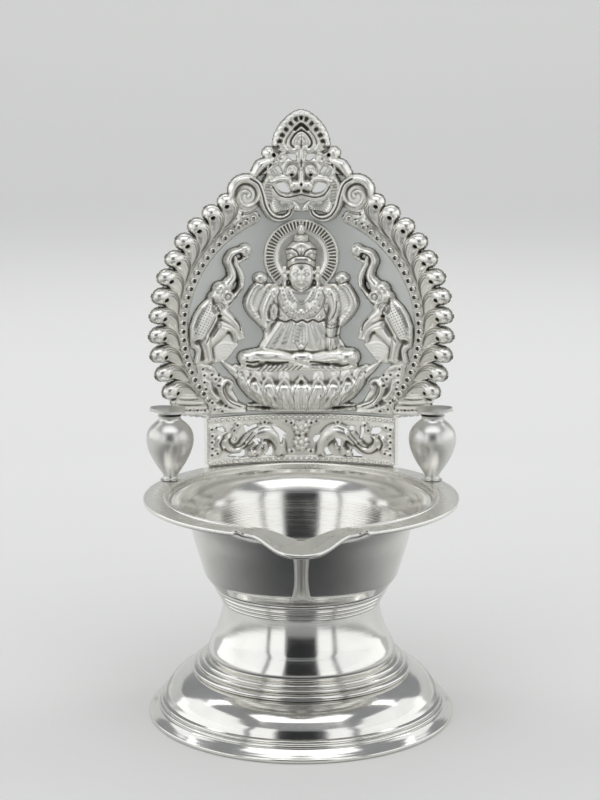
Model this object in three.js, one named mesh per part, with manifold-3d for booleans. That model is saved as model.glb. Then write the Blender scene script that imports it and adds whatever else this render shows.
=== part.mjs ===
// A silver kamakshi oil lamp: a spun foot, waist and bowl, a rim plate with a wick lip, two vase
// pillars, and a curved struck back plate with a seated goddess, elephants and a lion mask.
// Millimetres, +Z up. The origin is on the floor, below the middle of the lamp's box.
import * as THREE from 'three';
import { mergeVertices } from 'three/addons/utils/BufferGeometryUtils.js';
import Module from 'manifold-3d';

// Sheet, seams and facets
const SHEET = 0.8; // wall of the spun pieces and the rim plate
const PLATE_SHEET = 0.7; // wall of the back plate's carrying sheet
const GAP = 0.3; // seam between two soldered pieces
const FACETS = 32; // facets round a turned piece
const CORD_SIDES = 5; // sides of a raised cord
const STRIP = 7; // width of the flat strips that follow the plate's curve

// Foot
const FOOT_R = 31.4; // outer edge
const FOOT_EDGE = 0.8; // height of the rolled edge
const FLANGE_H = 4.3; // top of the stepped flange
const DOME_R = 27.9; // foot of the dome
const FOOT_H = 9.3; // top of the dome, where the stepped ring sits
const FOOT_TOP_R = 22.4;

// Stepped ring, waist and collar
const RING_H = 2.7;
const WAIST_R = 19.2; // widest, just above the stepped ring
const WAIST_H = 11.4;
const NECK_R = 15.9; // narrowest, below the collar
const COLLAR_H = 3.6;
const COLLAR_R = 17.7; // where the bowl stands
const COLLAR_BORE = 12;

// Rim plate and wick lip
const RIM_R = 32;
const RIM_W = 5; // from its edge to its opening
const RIM_IN = RIM_R - RIM_W;
const BEAD = 1.3; // width of the bead round the opening
const BEAD_H = 0.6;
const LIP_HALF = 13.3; // half the width of the lip where it leaves the rim
const LIP_OUT = 3.5; // how far the lip's nose stands out of the rim
const LIP_DROP = 2.7; // how far the nose sags
const LIP_DIP = 1.0; // how far the opening's edge sags behind it
const RIB_W = 4.4; // rib outside the wick channel, at the lip
const RIB_FOOT_W = 3.2;
const RIB_OUT = 1.3;

// Bowl
const BOWL_H = 17.6;
const BOWL_R = 22.2; // belly
const MOUTH_R = RIM_IN + 0.5 * SHEET; // outside, under the rim plate

// Vase pillars and their leaf caps: each stands near the rim's edge, beside the back plate
const VASE_TURN = 25.7; // degrees round from the lamp's side to its back
const VASE_AT = 0.95 * RIM_R; // from the axis
const VASE_X = VASE_AT * Math.cos(VASE_TURN * Math.PI / 180);
const VASE_Y = VASE_AT * Math.sin(VASE_TURN * Math.PI / 180);
const VASE_H = 13.2;
const VASE_R = 4.95;
const VASE_NECK_R = 2.25;
const VASE_FOOT_R = 1.6;
const CAP_T = 0.8;
const CAP_WIDTH = 6.8; // from its inner edge to its tip

// Back plate, in heights above the rim plate
const PLATE_R = 44; // curve about an upright axis in front of the plate
const PLATE_Y = RIM_R - RIM_W / 2; // middle of the plate's front face
const PANEL_HALF = 20.2;
const PANEL_H = 10.9;
const FLANGE = 1.3; // edge folded back behind the carrying sheet
const EAR_X = VASE_X;
const EAR_H = 4.4;
const EAR_RISE = 1; // slope of the ear's underside
const RAIL = 1.5; // height of the bars above and below the lower panel
const ARCH_H = 30; // centre of the arch
const PEARL_R = 25.3; // circle of the pearls
const PEARL = 0.72; // radius of one pearl
const PEARL_PITCH = 1.75;
const PETAL_L = 4.6; // length of a petal
const PETAL_R = PEARL_R + PETAL_L; // circle of the petals' bulbs
const PETAL = 1.9; // radius of one bulb
const PETALS = 12; // on each side
const PETAL_TOP = 58.3; // degrees above the level of the arch's centre
const PETAL_PITCH = 7.6; // degrees
const PEARL_LOW = -36; // degrees, where each row of pearls starts and ends
const PEARL_TOP = 67;
const RELIEF = 1.2; // height of the border's relief

// Figures on the plate
const LOTUS_W = 30;
const LOTUS_H = 8.6;
const LOTUS_BASE = PANEL_H + 1.4;
const FIGURE_H = 30; // seated goddess with her crown
const FIGURE_BASE = LOTUS_BASE + LOTUS_H + GAP;
const HALO_R = 7.6;
const HALO_BAND = 2;
const HALO_H = FIGURE_BASE + 0.8 * FIGURE_H;
const ELEPHANT_H = 25;
const ELEPHANT_X = 17.6;
const ELEPHANT_BASE = FIGURE_BASE + 0.8;
const MASK_W = 13;
const MASK_H = 9;
const MASK_BASE = ARCH_H + PEARL_R + 2.3;
const VOLUTE_R = 3.7;
const VOLUTE_X = MASK_W / 2 + 1.4 * VOLUTE_R;
const VOLUTE_Z = MASK_BASE + 0.6;
const FINIAL_H = 9.4;
const FINIAL_W = 12;
const FINIAL_BASE = MASK_BASE + MASK_H + 0.2;
const LOBE_R = 1.5; // the round lobe beside the finial's foot
const FOLIAGE_H = 11;

// Levels
const RING_Z = FOOT_H;
const WAIST_Z = RING_Z + RING_H;
const COLLAR_Z = WAIST_Z + WAIST_H;
const BOWL_Z = COLLAR_Z + COLLAR_H;
const RIM_Z = BOWL_Z + BOWL_H; // underside of the rim plate
const RIM_TOP = RIM_Z + SHEET;
const PLATE_FOOT = RIM_TOP + GAP;
const SEAT = GAP; // back of each relief, off the carrying sheet
const TALL = 8; // stretch of a pocket
const PLATE_DEPTH = 9; // reach of a cut through the plate and its relief
const GRID = 1000; // points lie on a grid of a thousandth of a millimetre
const SLIVER = 0.02; // triangles thinner than this are merged into their neighbours

const wasm = await Module();
wasm.setup();

const v2 = (x, y) => new THREE.Vector2(x, y);
const v3 = (x, y, z) => new THREE.Vector3(x, y, z);
const degrees = THREE.MathUtils.degToRad;
const polar = (radius, angle, lift = ARCH_H) =>
  v2(radius * Math.cos(degrees(angle)), lift + radius * Math.sin(degrees(angle)));

// A closed geometry as a solid for cutting and joining, with its shared points merged
function solid(geometry) {
  const bare = new THREE.BufferGeometry();
  const whole = geometry.index ? geometry.toNonIndexed() : geometry;
  bare.setAttribute('position', whole.getAttribute('position'));
  const merged = mergeVertices(bare, 1e-4);
  const index = Array.from(merged.index.array);
  const triVerts = [];
  for (let i = 0; i < index.length; i += 3) {
    const [a, b, c] = index.slice(i, i + 3);
    if (a !== b && b !== c && c !== a) triVerts.push(a, b, c);
  }
  return new wasm.Manifold(new wasm.Mesh({
    numProp: 3,
    vertProperties: new Float32Array(merged.attributes.position.array),
    triVerts: new Uint32Array(triVerts),
  }));
}

const joined = (solids) => solids.reduce((sum, next) => sum.add(next));

// The points and triangles of a solid
function facesOf(body) {
  const mesh = body.getMesh();
  const points = [];
  for (let i = 0; i < mesh.vertProperties.length; i += mesh.numProp) {
    points.push(v3(...mesh.vertProperties.subarray(i, i + 3)));
  }
  const faces = [];
  for (let i = 0; i < mesh.triVerts.length; i += 3) {
    faces.push(Array.from(mesh.triVerts.subarray(i, i + 3)));
  }
  return { points, faces };
}

// The geometry of triangles given as numbers of points
const surface = (points, faces) =>
  new THREE.BufferGeometry().setFromPoints(faces.flat().map((i) => points[i]));

// A solid as a named mesh, without its slivers
function place(name, look, body) {
  const { points, faces } = facesOf(body.simplify(SLIVER));
  const snapped = points.map((p) => p.multiplyScalar(GRID).round().divideScalar(GRID));
  const geometry = mergeVertices(surface(snapped, faces), 1e-4);
  geometry.computeVertexNormals();
  const mesh = new THREE.Mesh(geometry, new THREE.MeshStandardMaterial(look));
  mesh.name = name;
  lamp.add(mesh);
}

// The looks: bright silver on the turned pieces, whitened relief, satin sheet behind the figures
const POLISHED = { color: 0xdcdddd, metalness: 1, roughness: 0.1 };
const STRUCK = { color: 0xd2d1c9, metalness: 1, roughness: 0.34 };
const SATIN = { color: 0xa9abaa, metalness: 1, roughness: 0.5 };

const lamp = new THREE.Group();

// A piece turned from a profile of [radius, height] points that closes on itself or on the axis
function turned(points) {
  const profile = points.map(([r, z]) => v2(r, z));
  if (THREE.ShapeUtils.area(profile) < 0) profile.reverse();
  if (profile.every((p) => p.x > 0)) profile.push(profile[0].clone());
  return solid(new THREE.LatheGeometry(profile, FACETS).rotateX(Math.PI / 2));
}

// The inner side of a spun wall: the outer side moved in by the sheet, level at its ends
function inside(outer, wall) {
  return outer.map(([r, z], i) => {
    const [r0, z0] = outer[Math.max(i - 1, 0)];
    const [r1, z1] = outer[Math.min(i + 1, outer.length - 1)];
    const along = v2(r1 - r0, z1 - z0).normalize();
    if (r === 0) return [0, z + wall];
    if (i === 0 || i === outer.length - 1) return [r - wall / Math.max(along.y, 0.5), z];
    return [r - wall * along.y, z + wall * along.x];
  });
}

const spun = (outer, wall) => turned([...outer, ...inside(outer, wall).reverse()]);

// Points on a curve that leaves start and reaches end, pulled towards a corner
function bow(start, corner, end, count) {
  const curve = new THREE.QuadraticBezierCurve(v2(...start), v2(...corner), v2(...end));
  return curve.getPoints(count).map((p) => [p.x, p.y]);
}

// Foot: a spun dome on a stepped flange with a rolled edge, open below
function foot() {
  const step = (FLANGE_H - FOOT_EDGE) / 4;
  const tread = (FOOT_R - DOME_R) / 3;
  return spun([
    [FOOT_R - 0.2, 0],
    [FOOT_R, FOOT_EDGE / 2],
    [FOOT_R, FOOT_EDGE],
    [FOOT_R - tread, FOOT_EDGE + step],
    [FOOT_R - 2 * tread, FOOT_EDGE + 2 * step],
    [FOOT_R - 2.6 * tread, FOOT_EDGE + 3 * step],
    ...bow([DOME_R, FLANGE_H], [DOME_R - 0.9, FOOT_H - 0.6], [FOOT_TOP_R, FOOT_H], 4),
  ], SHEET);
}

// Stepped ring: two fine rounded steps between the foot and the waist
function steppedRing() {
  const half = RING_H / 2;
  const top = WAIST_R + 0.3;
  const middle = (FOOT_TOP_R + top) / 2;
  return turned([
    [WAIST_R - 2 * SHEET, RING_Z],
    [FOOT_TOP_R, RING_Z],
    [FOOT_TOP_R, RING_Z + 0.6 * half],
    [middle, RING_Z + half],
    [middle - 0.2, RING_Z + 1.6 * half],
    [top, WAIST_Z],
    [WAIST_R - 2 * SHEET, WAIST_Z],
  ]);
}

// Waist: a spun drum, bulged at its foot and drawn in to the neck
function waist() {
  return spun([
    [WAIST_R - 0.4, WAIST_Z],
    [WAIST_R, WAIST_Z + 1.1],
    ...bow([WAIST_R - 0.3, WAIST_Z + 2.2], [NECK_R + 0.8, WAIST_Z + 0.5 * WAIST_H], [NECK_R, COLLAR_Z], 4),
  ], SHEET);
}

// Collar: a flared ring with fine turned steps, under the bowl
function collar() {
  const flare = (COLLAR_R - NECK_R) / 3;
  const rise = COLLAR_H / 3;
  return turned([
    [COLLAR_BORE, COLLAR_Z],
    [NECK_R, COLLAR_Z],
    [NECK_R + 0.3, COLLAR_Z + 0.5 * rise],
    [NECK_R + flare, COLLAR_Z + rise],
    [NECK_R + 1.6 * flare, COLLAR_Z + 1.6 * rise],
    [NECK_R + 2 * flare, COLLAR_Z + 2 * rise],
    [COLLAR_R, COLLAR_Z + 2.6 * rise],
    [COLLAR_R, BOWL_Z],
    [COLLAR_BORE, BOWL_Z],
  ]);
}

// The bowl's outer side, from the middle of its floor to its mouth
const bowlSide = [
  ...bow([COLLAR_R, BOWL_Z], [BOWL_R - 1.6, BOWL_Z + 0.2 * BOWL_H], [BOWL_R, BOWL_Z + 0.64 * BOWL_H], 4),
  ...bow([BOWL_R, BOWL_Z + 0.72 * BOWL_H], [BOWL_R + 1, BOWL_Z + 0.9 * BOWL_H], [MOUTH_R, RIM_Z], 3),
];

// The rim's plan: the lip swells out of the circle and sags in its middle, and the opening follows
function lipShare(angle) {
  const across = RIM_R * Math.cos(angle) / LIP_HALF;
  if (Math.sin(angle) > 0 || Math.abs(across) >= 1) return 0;
  return 0.5 + 0.5 * Math.cos(Math.PI * across);
}

// The rim plate's section, swept round the opening: under and over are added to its thickness
function rimSweep(under, over) {
  const count = 2 * FACETS;
  const points = [];
  for (let i = 0; i < count; i += 1) {
    const angle = -Math.PI / 2 + 2 * Math.PI * i / count;
    const share = lipShare(angle);
    const out = RIM_R + LIP_OUT * share;
    const corners = [
      [RIM_IN, RIM_Z - LIP_DIP * share - under],
      [out, RIM_Z - LIP_DROP * share - under],
      [out, RIM_TOP - LIP_DROP * share + over],
      [RIM_IN, RIM_TOP - LIP_DIP * share + over],
    ];
    corners.forEach(([r, z]) => points.push(v3(r * Math.cos(angle), r * Math.sin(angle), z)));
  }
  const faces = [];
  for (let i = 0; i < count; i += 1) {
    for (let k = 0; k < 4; k += 1) {
      const a = 4 * i + k;
      const b = 4 * i + (k + 1) % 4;
      const c = (a + 4) % (4 * count);
      const d = (b + 4) % (4 * count);
      faces.push([a, c, b], [b, c, d]);
    }
  }
  return solid(surface(points, faces));
}

// Bowl: a spun vessel, its mouth cut away where the lip sags
function bowl() {
  const whole = spun([[0, BOWL_Z], ...bowlSide], SHEET);
  return whole.subtract(rimSweep(GAP, BOWL_H));
}

// Bead: a raised edge round the opening, open at the lip so that the oil reaches the wick
function openingBead() {
  const ring = turned([
    [RIM_IN, RIM_TOP + GAP],
    [RIM_IN + BEAD, RIM_TOP + GAP],
    [RIM_IN + 0.75 * BEAD, RIM_TOP + GAP + BEAD_H],
    [RIM_IN + 0.25 * BEAD, RIM_TOP + GAP + BEAD_H],
  ]);
  const gate = new THREE.BoxGeometry(1.3 * LIP_HALF, 2 * RIM_R, 4 * BEAD_H);
  return ring.subtract(solid(gate.translate(0, -RIM_R, RIM_TOP)));
}

// A closed body through sections of equal point count, capped at both ends
function loft(sections) {
  const count = sections[0].length;
  const points = sections.flat();
  const last = count * (sections.length - 1);
  const faces = [];
  for (let s = 0; s < sections.length - 1; s += 1) {
    for (let k = 0; k < count; k += 1) {
      const a = s * count + k;
      const b = s * count + (k + 1) % count;
      faces.push([a, b, a + count], [b, b + count, a + count]);
    }
  }
  for (let k = 1; k < count - 1; k += 1) {
    faces.push([0, k + 1, k], [last, last + k, last + k + 1]);
  }
  return solid(surface(points, faces));
}

// Rib: the outside of the wick channel, down the front of the bowl
function wickRib() {
  const side = bowlSide.filter(([, z]) => z < RIM_Z - LIP_DROP - 2 * GAP).reverse();
  const round = [[-1, 0], [-0.8, 0.6], [-0.35, 1], [0.35, 1], [0.8, 0.6], [1, 0]];
  return loft(side.map(([r, z], i) => {
    const down = i / (side.length - 1);
    const half = THREE.MathUtils.lerp(RIB_W, RIB_FOOT_W, down) / 2;
    const proud = RIB_OUT * (1 - 0.6 * down);
    return round.map(([across, out]) => v3(across * half, -(r + GAP + 0.12 + proud * out), z)).reverse();
  }));
}

// Vase pillar: a small turned vase with a short neck, standing on the rim plate
function vase(side) {
  const z = (share) => RIM_TOP + GAP + share * VASE_H;
  const profile = [
    [0, z(0)],
    [VASE_FOOT_R, z(0)],
    [VASE_FOOT_R + 0.1, z(0.06)],
    ...bow([VASE_FOOT_R + 0.5, z(0.1)], [VASE_R - 0.3, z(0.32)], [VASE_R, z(0.54)], 4),
    ...bow([VASE_R - 0.1, z(0.62)], [VASE_R - 0.6, z(0.78)], [VASE_NECK_R, z(0.88)], 3),
    [VASE_NECK_R - 0.1, z(0.94)],
    [VASE_NECK_R + 0.1, z(1)],
    [0, z(1)],
  ].map(([r, h]) => v2(r, h));
  const body = new THREE.LatheGeometry(profile, FACETS / 2).rotateX(Math.PI / 2);
  return solid(body.translate(side * VASE_X, VASE_Y, 0));
}

// Leaf cap: a flat leaf on the vase, its back edge following the relief of the plate's ear
function leafCap(side) {
  const front = VASE_Y - VASE_NECK_R;
  const inner = VASE_X - VASE_NECK_R - 0.5;
  const backEdge = (x) => PLATE_Y - PLATE_R + Math.sqrt((PLATE_R - 2 * RELIEF) ** 2 - x * x);
  const leaf = [
    [inner, front],
    [inner + 0.45 * CAP_WIDTH, front + 0.5],
    ...[1, 0.75, 0.5, 0.25, 0].map((share) => [inner + share * CAP_WIDTH, backEdge(inner + share * CAP_WIDTH)]),
  ];
  const shape = new THREE.Shape(leaf.map(([x, y]) => v2(side * x, y)));
  const body = new THREE.ExtrudeGeometry(shape, { depth: CAP_T, bevelEnabled: false });
  return solid(body.translate(0, 0, RIM_TOP + 2 * GAP + VASE_H));
}

// The back plate is worked flat, with x across, y up from the rim and z proud of the carrying
// sheet, and is then bent round an upright axis. Each flat form below can be grown by a margin,
// which makes the pocket that it needs in its neighbour.

// A form as it is, or grown by a margin and made tall enough to clear the highest relief
const cutTall = (body, margin) => solid(margin > 0 ? body.scale(1, 1, TALL) : body);

// Cushion: an outline raised to a height, with a sloped edge
const cushion = (outline, top, slope = 0.5) => (margin) => {
  const body = new THREE.ExtrudeGeometry(new THREE.Shape(outline.map(([x, y]) => v2(x, y))), {
    depth: top - slope,
    bevelThickness: slope,
    bevelSize: slope,
    bevelOffset: margin - slope,
    bevelSegments: 1,
  });
  return cutTall(body, margin);
};

// Boss: half an ellipsoid, turned about its middle
const boss = (x, y, rx, ry, top, turn = 0, sides = 7, rings = 4) => (margin) => {
  const body = new THREE.SphereGeometry(1, sides, rings).rotateX(Math.PI / 2);
  body.scale(rx + margin, ry + margin, top + margin).rotateZ(degrees(turn)).translate(x, y, 0);
  return cutTall(body, margin);
};

// Cord: a rounded ridge along a curve
const cord = (points, radius, steps = 2) => (margin) => {
  const path = new THREE.CatmullRomCurve3(points.map(([x, y]) => v3(x, y, 0.6 * radius)));
  const reach = radius + margin;
  const section = new THREE.Shape(Array.from({ length: CORD_SIDES }, (_, i) => {
    const angle = 2 * Math.PI * i / CORD_SIDES;
    return v2(reach * Math.cos(angle), reach * Math.sin(angle));
  }));
  return cutTall(new THREE.ExtrudeGeometry(section, {
    steps: steps * (points.length - 1),
    extrudePath: path,
    bevelEnabled: false,
  }), margin);
};

// Plain slab between two levels
function slab(outline, low, high) {
  const shape = new THREE.Shape(outline.map(([x, y]) => v2(x, y)));
  const body = new THREE.ExtrudeGeometry(shape, { depth: high - low, bevelEnabled: false });
  return solid(body.translate(0, 0, low));
}

const mirrored = (outline, side) => outline.map(([x, y]) => [side * x, y]);

// Part of a flat ring about the arch's centre, between two angles in degrees
function band(inner, outer, from, to, count) {
  const angles = Array.from({ length: count + 1 }, (_, i) => from + (to - from) * i / count);
  const edge = (radius, list) => list.map((angle) => polar(radius, angle).toArray());
  return [...edge(outer, angles), ...edge(inner, angles.reverse())];
}

// Splits the triangles that cross x, with one new point for each crossed edge
function splitAt(points, faces, x) {
  const made = new Map();
  const sideOf = (i) => (Math.abs(points[i].x - x) < 1e-4 ? 0 : Math.sign(points[i].x - x));
  const crossing = (a, b) => {
    const [low, high] = [Math.min(a, b), Math.max(a, b)];
    const key = `${low} ${high}`;
    if (!made.has(key)) {
      const share = (x - points[low].x) / (points[high].x - points[low].x);
      made.set(key, points.push(points[low].clone().lerp(points[high], share)) - 1);
    }
    return made.get(key);
  };
  const startAt = (face, i) => [face[i], face[(i + 1) % 3], face[(i + 2) % 3]];
  return faces.flatMap((face) => {
    const sides = face.map(sideOf);
    if (!sides.includes(1) || !sides.includes(-1)) return [face];
    if (sides.includes(0)) {
      const [a, b, c] = startAt(face, sides.indexOf(0));
      const middle = crossing(b, c);
      return [[a, b, middle], [a, middle, c]];
    }
    const lone = sides.findIndex((s) => sides.filter((other) => other === s).length === 1);
    const [a, b, c] = startAt(face, lone);
    const [near, far] = [crossing(a, b), crossing(a, c)];
    return [[a, near, far], [near, b, c], [near, c, far]];
  });
}

// Bends a flat body to the plate's curve: the middle of the front face is at PLATE_Y
function bent(body) {
  let { points, faces } = facesOf(body);
  const strips = Math.ceil(PLATE_R / STRIP);
  for (let i = -strips; i <= strips; i += 1) faces = splitAt(points, faces, i * STRIP);
  points = points.map((p) => {
    const angle = Math.asin(THREE.MathUtils.clamp(p.x / PLATE_R, -1, 1));
    const radius = PLATE_R - p.z;
    return v3(radius * Math.sin(angle), PLATE_Y - PLATE_R + radius * Math.cos(angle), PLATE_FOOT + p.y);
  });
  return solid(surface(points, faces));
}

// The ground under a relief: a slab whose outline is given for a margin
const ground = (outline, top) => (margin) =>
  slab(outline(margin), -margin, margin > 0 ? top * TALL : top);

const wide = 4 * RIM_R;
const behind = solid(new THREE.BoxGeometry(wide, 2 * wide, wide).translate(0, 0, SEAT - wide / 2));

// Relief pieces are laid in order: each is cut round the pockets of those laid before it
let pockets = null;
function relief(name, forms, openings = []) {
  let body = joined(forms.map((form) => form(0)));
  if (pockets) body = body.subtract(pockets);
  openings.forEach((opening) => { body = body.subtract(opening); });
  const pocket = joined(forms.map((form) => form(GAP)));
  pockets = pockets ? pockets.add(pocket) : pocket;
  place(name, STRUCK, bent(body.subtract(behind)));
}

const bothSides = (make) => [-1, 1].flatMap((side) => make(side));

// Goddess: seated cross-legged, four arms, a tall crown. Lengths in twelfths of her height
function goddess() {
  const u = FIGURE_H / 12;
  const spot = (x, y) => [x * u, FIGURE_BASE + y * u];
  const disc = (x, y, rx, ry, top) => boss(...spot(x, y), rx * u, ry * u, top * u);
  return [
    cushion([
      spot(-4.4, 0), spot(4.4, 0), spot(5.3, 0.7), spot(4.6, 1.7), spot(-4.6, 1.7), spot(-5.3, 0.7),
    ], 0.7 * u),
    cushion([spot(-3, 1.4), spot(3, 1.4), spot(1.7, 4), spot(-1.7, 4)], 0.8 * u),
    disc(0, 5.2, 2.3, 1.6, 1.15),
    disc(0, 7.8, 1.05, 1.35, 1.3),
    disc(0, 9.4, 1.3, 0.8, 1.05),
    disc(0, 10.5, 0.85, 0.9, 0.9),
    disc(0, 11.4, 0.4, 0.6, 0.7),
    ...bothSides((side) => [
      disc(side * 4.3, 1, 1.1, 0.9, 1.1),
      cord([spot(side * 2, 6), spot(side * 4.1, 5), spot(side * 3.6, 7.4)], 0.42 * u),
      disc(side * 3.6, 7.9, 0.65, 0.75, 0.85),
      cord([spot(side * 1.9, 5.6), spot(side * 3, 4), spot(side * 2.6, 4.4 - side)], 0.42 * u),
      disc(side * 2.6, 4.2 - side * 1.2, 0.6, 0.7, 1.1),
    ]),
  ];
}

// Halo: a flat ring with a raised edge
function halo() {
  const ring = (margin) => {
    const [inner, outer] = [HALO_R - HALO_BAND - margin, HALO_R + margin];
    const profile = [
      [inner, -margin], [outer, -margin], [outer, RELIEF + margin],
      [HALO_R - 0.3 * HALO_BAND, RELIEF + margin], [HALO_R - 0.5 * HALO_BAND, 0.6 * RELIEF + margin],
      [inner, 0.6 * RELIEF + margin], [inner, -margin],
    ].map(([x, y]) => v2(x, y));
    const body = new THREE.LatheGeometry(profile, 24).rotateX(Math.PI / 2);
    return cutTall(body.translate(0, HALO_H, 0), margin);
  };
  return [ring];
}

// Lotus seat: a cup of petals on a banded base
function lotus() {
  const half = LOTUS_W / 2;
  const y = (share) => LOTUS_BASE + share * LOTUS_H;
  const row = (count, reach, height, size, top) => Array.from({ length: count }, (_, i) => {
    const across = 2 * i / (count - 1) - 1;
    return boss(across * reach, height, size, 0.28 * LOTUS_H, top, -30 * across, 6);
  });
  return [
    cushion([
      [-0.72 * half, y(0)], [0.72 * half, y(0)], [0.78 * half, y(0.2)],
      [half, y(0.95)], [-half, y(0.95)], [-0.78 * half, y(0.2)],
    ], 1.3),
    ...row(7, 0.78 * half, y(0.62), 0.15 * half, 2.4),
    ...row(6, 0.6 * half, y(0.34), 0.13 * half, 2.1),
  ];
}

// Elephant: rearing towards the goddess, trunk raised with a flower. Tenths of its height
function elephant(side) {
  const u = ELEPHANT_H / 10;
  const spot = (x, y) => [side * (ELEPHANT_X + x * u), ELEPHANT_BASE + y * u];
  return [
    boss(...spot(1.3, 3.2), 1.5 * u, 1.8 * u, 2.2, side * 20),
    boss(...spot(1, 4.6), 1.4 * u, 1.5 * u, 2.4, side * -20),
    boss(...spot(-0.5, 5.9), 1 * u, 1.05 * u, 2.6),
    boss(...spot(0.5, 5.4), 0.6 * u, 0.85 * u, 3),
    cord([spot(-0.6, 6.3), spot(-1.2, 7), spot(-0.9, 8.2), spot(-1.1, 9.1), spot(-1.9, 9.4)], 0.4 * u),
    boss(...spot(-2.2, 9.4), 0.6 * u, 0.7 * u, 1.8),
    cord([spot(0, 4.6), spot(-1, 4), spot(-1.9, 3.2)], 0.42 * u),
    boss(...spot(-2, 3), 0.5 * u, 0.5 * u, 1.7),
    cord([spot(1.4, 2.6), spot(1.3, 1.4), spot(1.1, 0.4)], 0.62 * u),
  ];
}

// Lion mask: round eyes, a broad nose and a grin over two feather fans, pierced at the mouth
function mask() {
  const w = MASK_W / 2;
  const y = (share) => MASK_BASE + share * MASK_H;
  return [
    cushion([
      [-0.55 * w, y(-0.1)], [0.55 * w, y(-0.1)], [w, y(0.25)], [0.9 * w, y(0.55)],
      [0.5 * w, y(0.98)], [-0.5 * w, y(0.98)], [-0.9 * w, y(0.55)], [-w, y(0.25)],
    ], 1.5),
    boss(0, y(0.45), 0.14 * w, 0.3 * MASK_H, 3),
    boss(0, y(0.86), 0.12 * w, 0.16 * MASK_H, 2.4),
    cord([
      [-0.85 * w, y(0.24)], [-0.5 * w, y(0.02)], [0, y(0.1)], [0.5 * w, y(0.02)], [0.85 * w, y(0.24)],
    ], 0.65),
    ...bothSides((side) => [
      boss(side * 0.32 * w, y(0.66), 0.2 * w, 0.13 * MASK_H, 2.7),
      boss(side * 0.24 * w, y(0.33), 0.22 * w, 0.12 * MASK_H, 2.9),
      boss(side * 0.62 * w, y(-0.22), 0.4 * w, 0.28 * MASK_H, 2),
    ]),
  ];
}

// The pierced corner of the mask's mouth, on one side
function grin(side) {
  const w = side * MASK_W / 2;
  const y = (share) => MASK_BASE + share * MASK_H;
  const outline = [[0.3 * w, y(0.14)], [0.62 * w, y(0.12)], [0.86 * w, y(0.34)], [0.6 * w, y(0.38)]];
  return slab(outline, -PLATE_DEPTH, PLATE_DEPTH);
}

// Scroll: a volute above the border whose band sweeps down beside the mask
function scroll(side) {
  const r = VOLUTE_R;
  const path = [
    [0.95, -0.1], [0.6, 0.8], [-0.1, 0.98], [-0.7, 0.5], [-1, -0.5], [-1.5, -1.2], [-2.2, -1.15],
  ].map(([out, up]) => [side * (VOLUTE_X + out * r), VOLUTE_Z + up * r]);
  return [
    cord(path, 0.85),
    boss(side * VOLUTE_X, VOLUTE_Z, 0.8 * r, 0.8 * r, 1.5),
    boss(side * (VOLUTE_X + 0.1 * r), VOLUTE_Z, 0.3 * r, 0.3 * r, 2.4, 0, 6),
  ];
}

// Crest lobes: two rounded leaves that step up from the scroll to the finial
function crestLobes(side) {
  const w = side * FINIAL_W / 2;
  const y = (share) => FINIAL_BASE + share * FINIAL_H;
  return [
    boss(1.17 * w, y(0.05), LOBE_R, LOBE_R, 1.8 * RELIEF),
    boss(1.42 * w, y(-0.32), 1.45 * LOBE_R, 0.95 * LOBE_R, 1.8 * RELIEF, side * -35),
    cord([[1.1 * w, y(0)], [1.25 * w, y(-0.18)], [1.5 * w, y(-0.4)]], 0.45 * LOBE_R),
  ];
}

// The finial's outline, at a share of its full size about its niche
function finialOutline(share) {
  const half = [[0, 1], [0.42, 0.86], [0.68, 0.68], [0.88, 0.46], [0.98, 0.22], [0.94, 0.02]];
  const left = half.slice(1).map(([x, y]) => [-x, y]);
  return [...half.reverse(), ...left].map(([x, y]) =>
    [x * share * FINIAL_W / 2, FINIAL_BASE + FINIAL_H * (y * share + 0.12 * (1 - share))]);
}

// Corner foliage: a volute and leaves beside the lotus, inside the row of pearls. Lengths in
// elevenths of its height
function foliage(side) {
  const u = FOLIAGE_H / 11;
  const spot = (x, y) => [side * (PANEL_HALF + x * u), PANEL_H + 2 * GAP + y * u];
  return [
    cushion([
      spot(-8.6, 0), spot(-0.8, 0), spot(-0.8, 3.2), spot(0.4, 6.4), spot(1.8, 10.2), spot(0.6, 11),
      spot(-1.8, 8.4), spot(-4.4, 6), spot(-4.8, 3.2),
    ], 1, 0.3),
    boss(...spot(-2.8, 3.2), 2.1 * u, 2.3 * u, 1.7 * RELIEF),
    cord([spot(-1.6, 4.6), spot(-0.2, 7), spot(0.6, 9.6)], 0.8 * u),
  ];
}

// Ear: the shelf outside the pearls that the leaf cap meets. Places in shares of its height
function ear(side) {
  const spot = (x, along, up) => [side * (x + along * EAR_H), PANEL_H + 2 * GAP + up * EAR_H];
  const middle = (PANEL_HALF + EAR_X) / 2;
  return [
    cushion([
      spot(PANEL_HALF, -0.05, 0.07), spot(EAR_X, 0, 0.3), spot(EAR_X, 0, 1), spot(EAR_X, -0.45, 1.23),
      spot(middle, -0.14, 0.82), spot(PANEL_HALF, 0.09, 0.55),
    ], RELIEF, 0.3),
    cord([spot(PANEL_HALF, 0.36, 0.39), spot(middle, 0, 0.55), spot(EAR_X, -0.27, 0.68)], 0.2 * EAR_H),
  ];
}

// Pearl row: round pearls on a narrow band, one side of the arch
function pearlRow(side) {
  const sweep = PEARL_TOP - PEARL_LOW;
  const count = Math.round(degrees(sweep) * PEARL_R / PEARL_PITCH);
  const half = PEARL + 0.12;
  const pearls = Array.from({ length: count + 1 }, (_, i) => {
    const spot = polar(PEARL_R, PEARL_LOW + sweep * i / count);
    return boss(side * spot.x, spot.y, PEARL, PEARL, RELIEF + 0.5, 0, 5, 2);
  });
  const strip = (margin) => mirrored(
    band(PEARL_R - half - margin, PEARL_R + half + margin, PEARL_LOW - 2, PEARL_TOP + 2, 16),
    side,
  );
  return [ground(strip, 0.75 * RELIEF), ...pearls];
}

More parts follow.
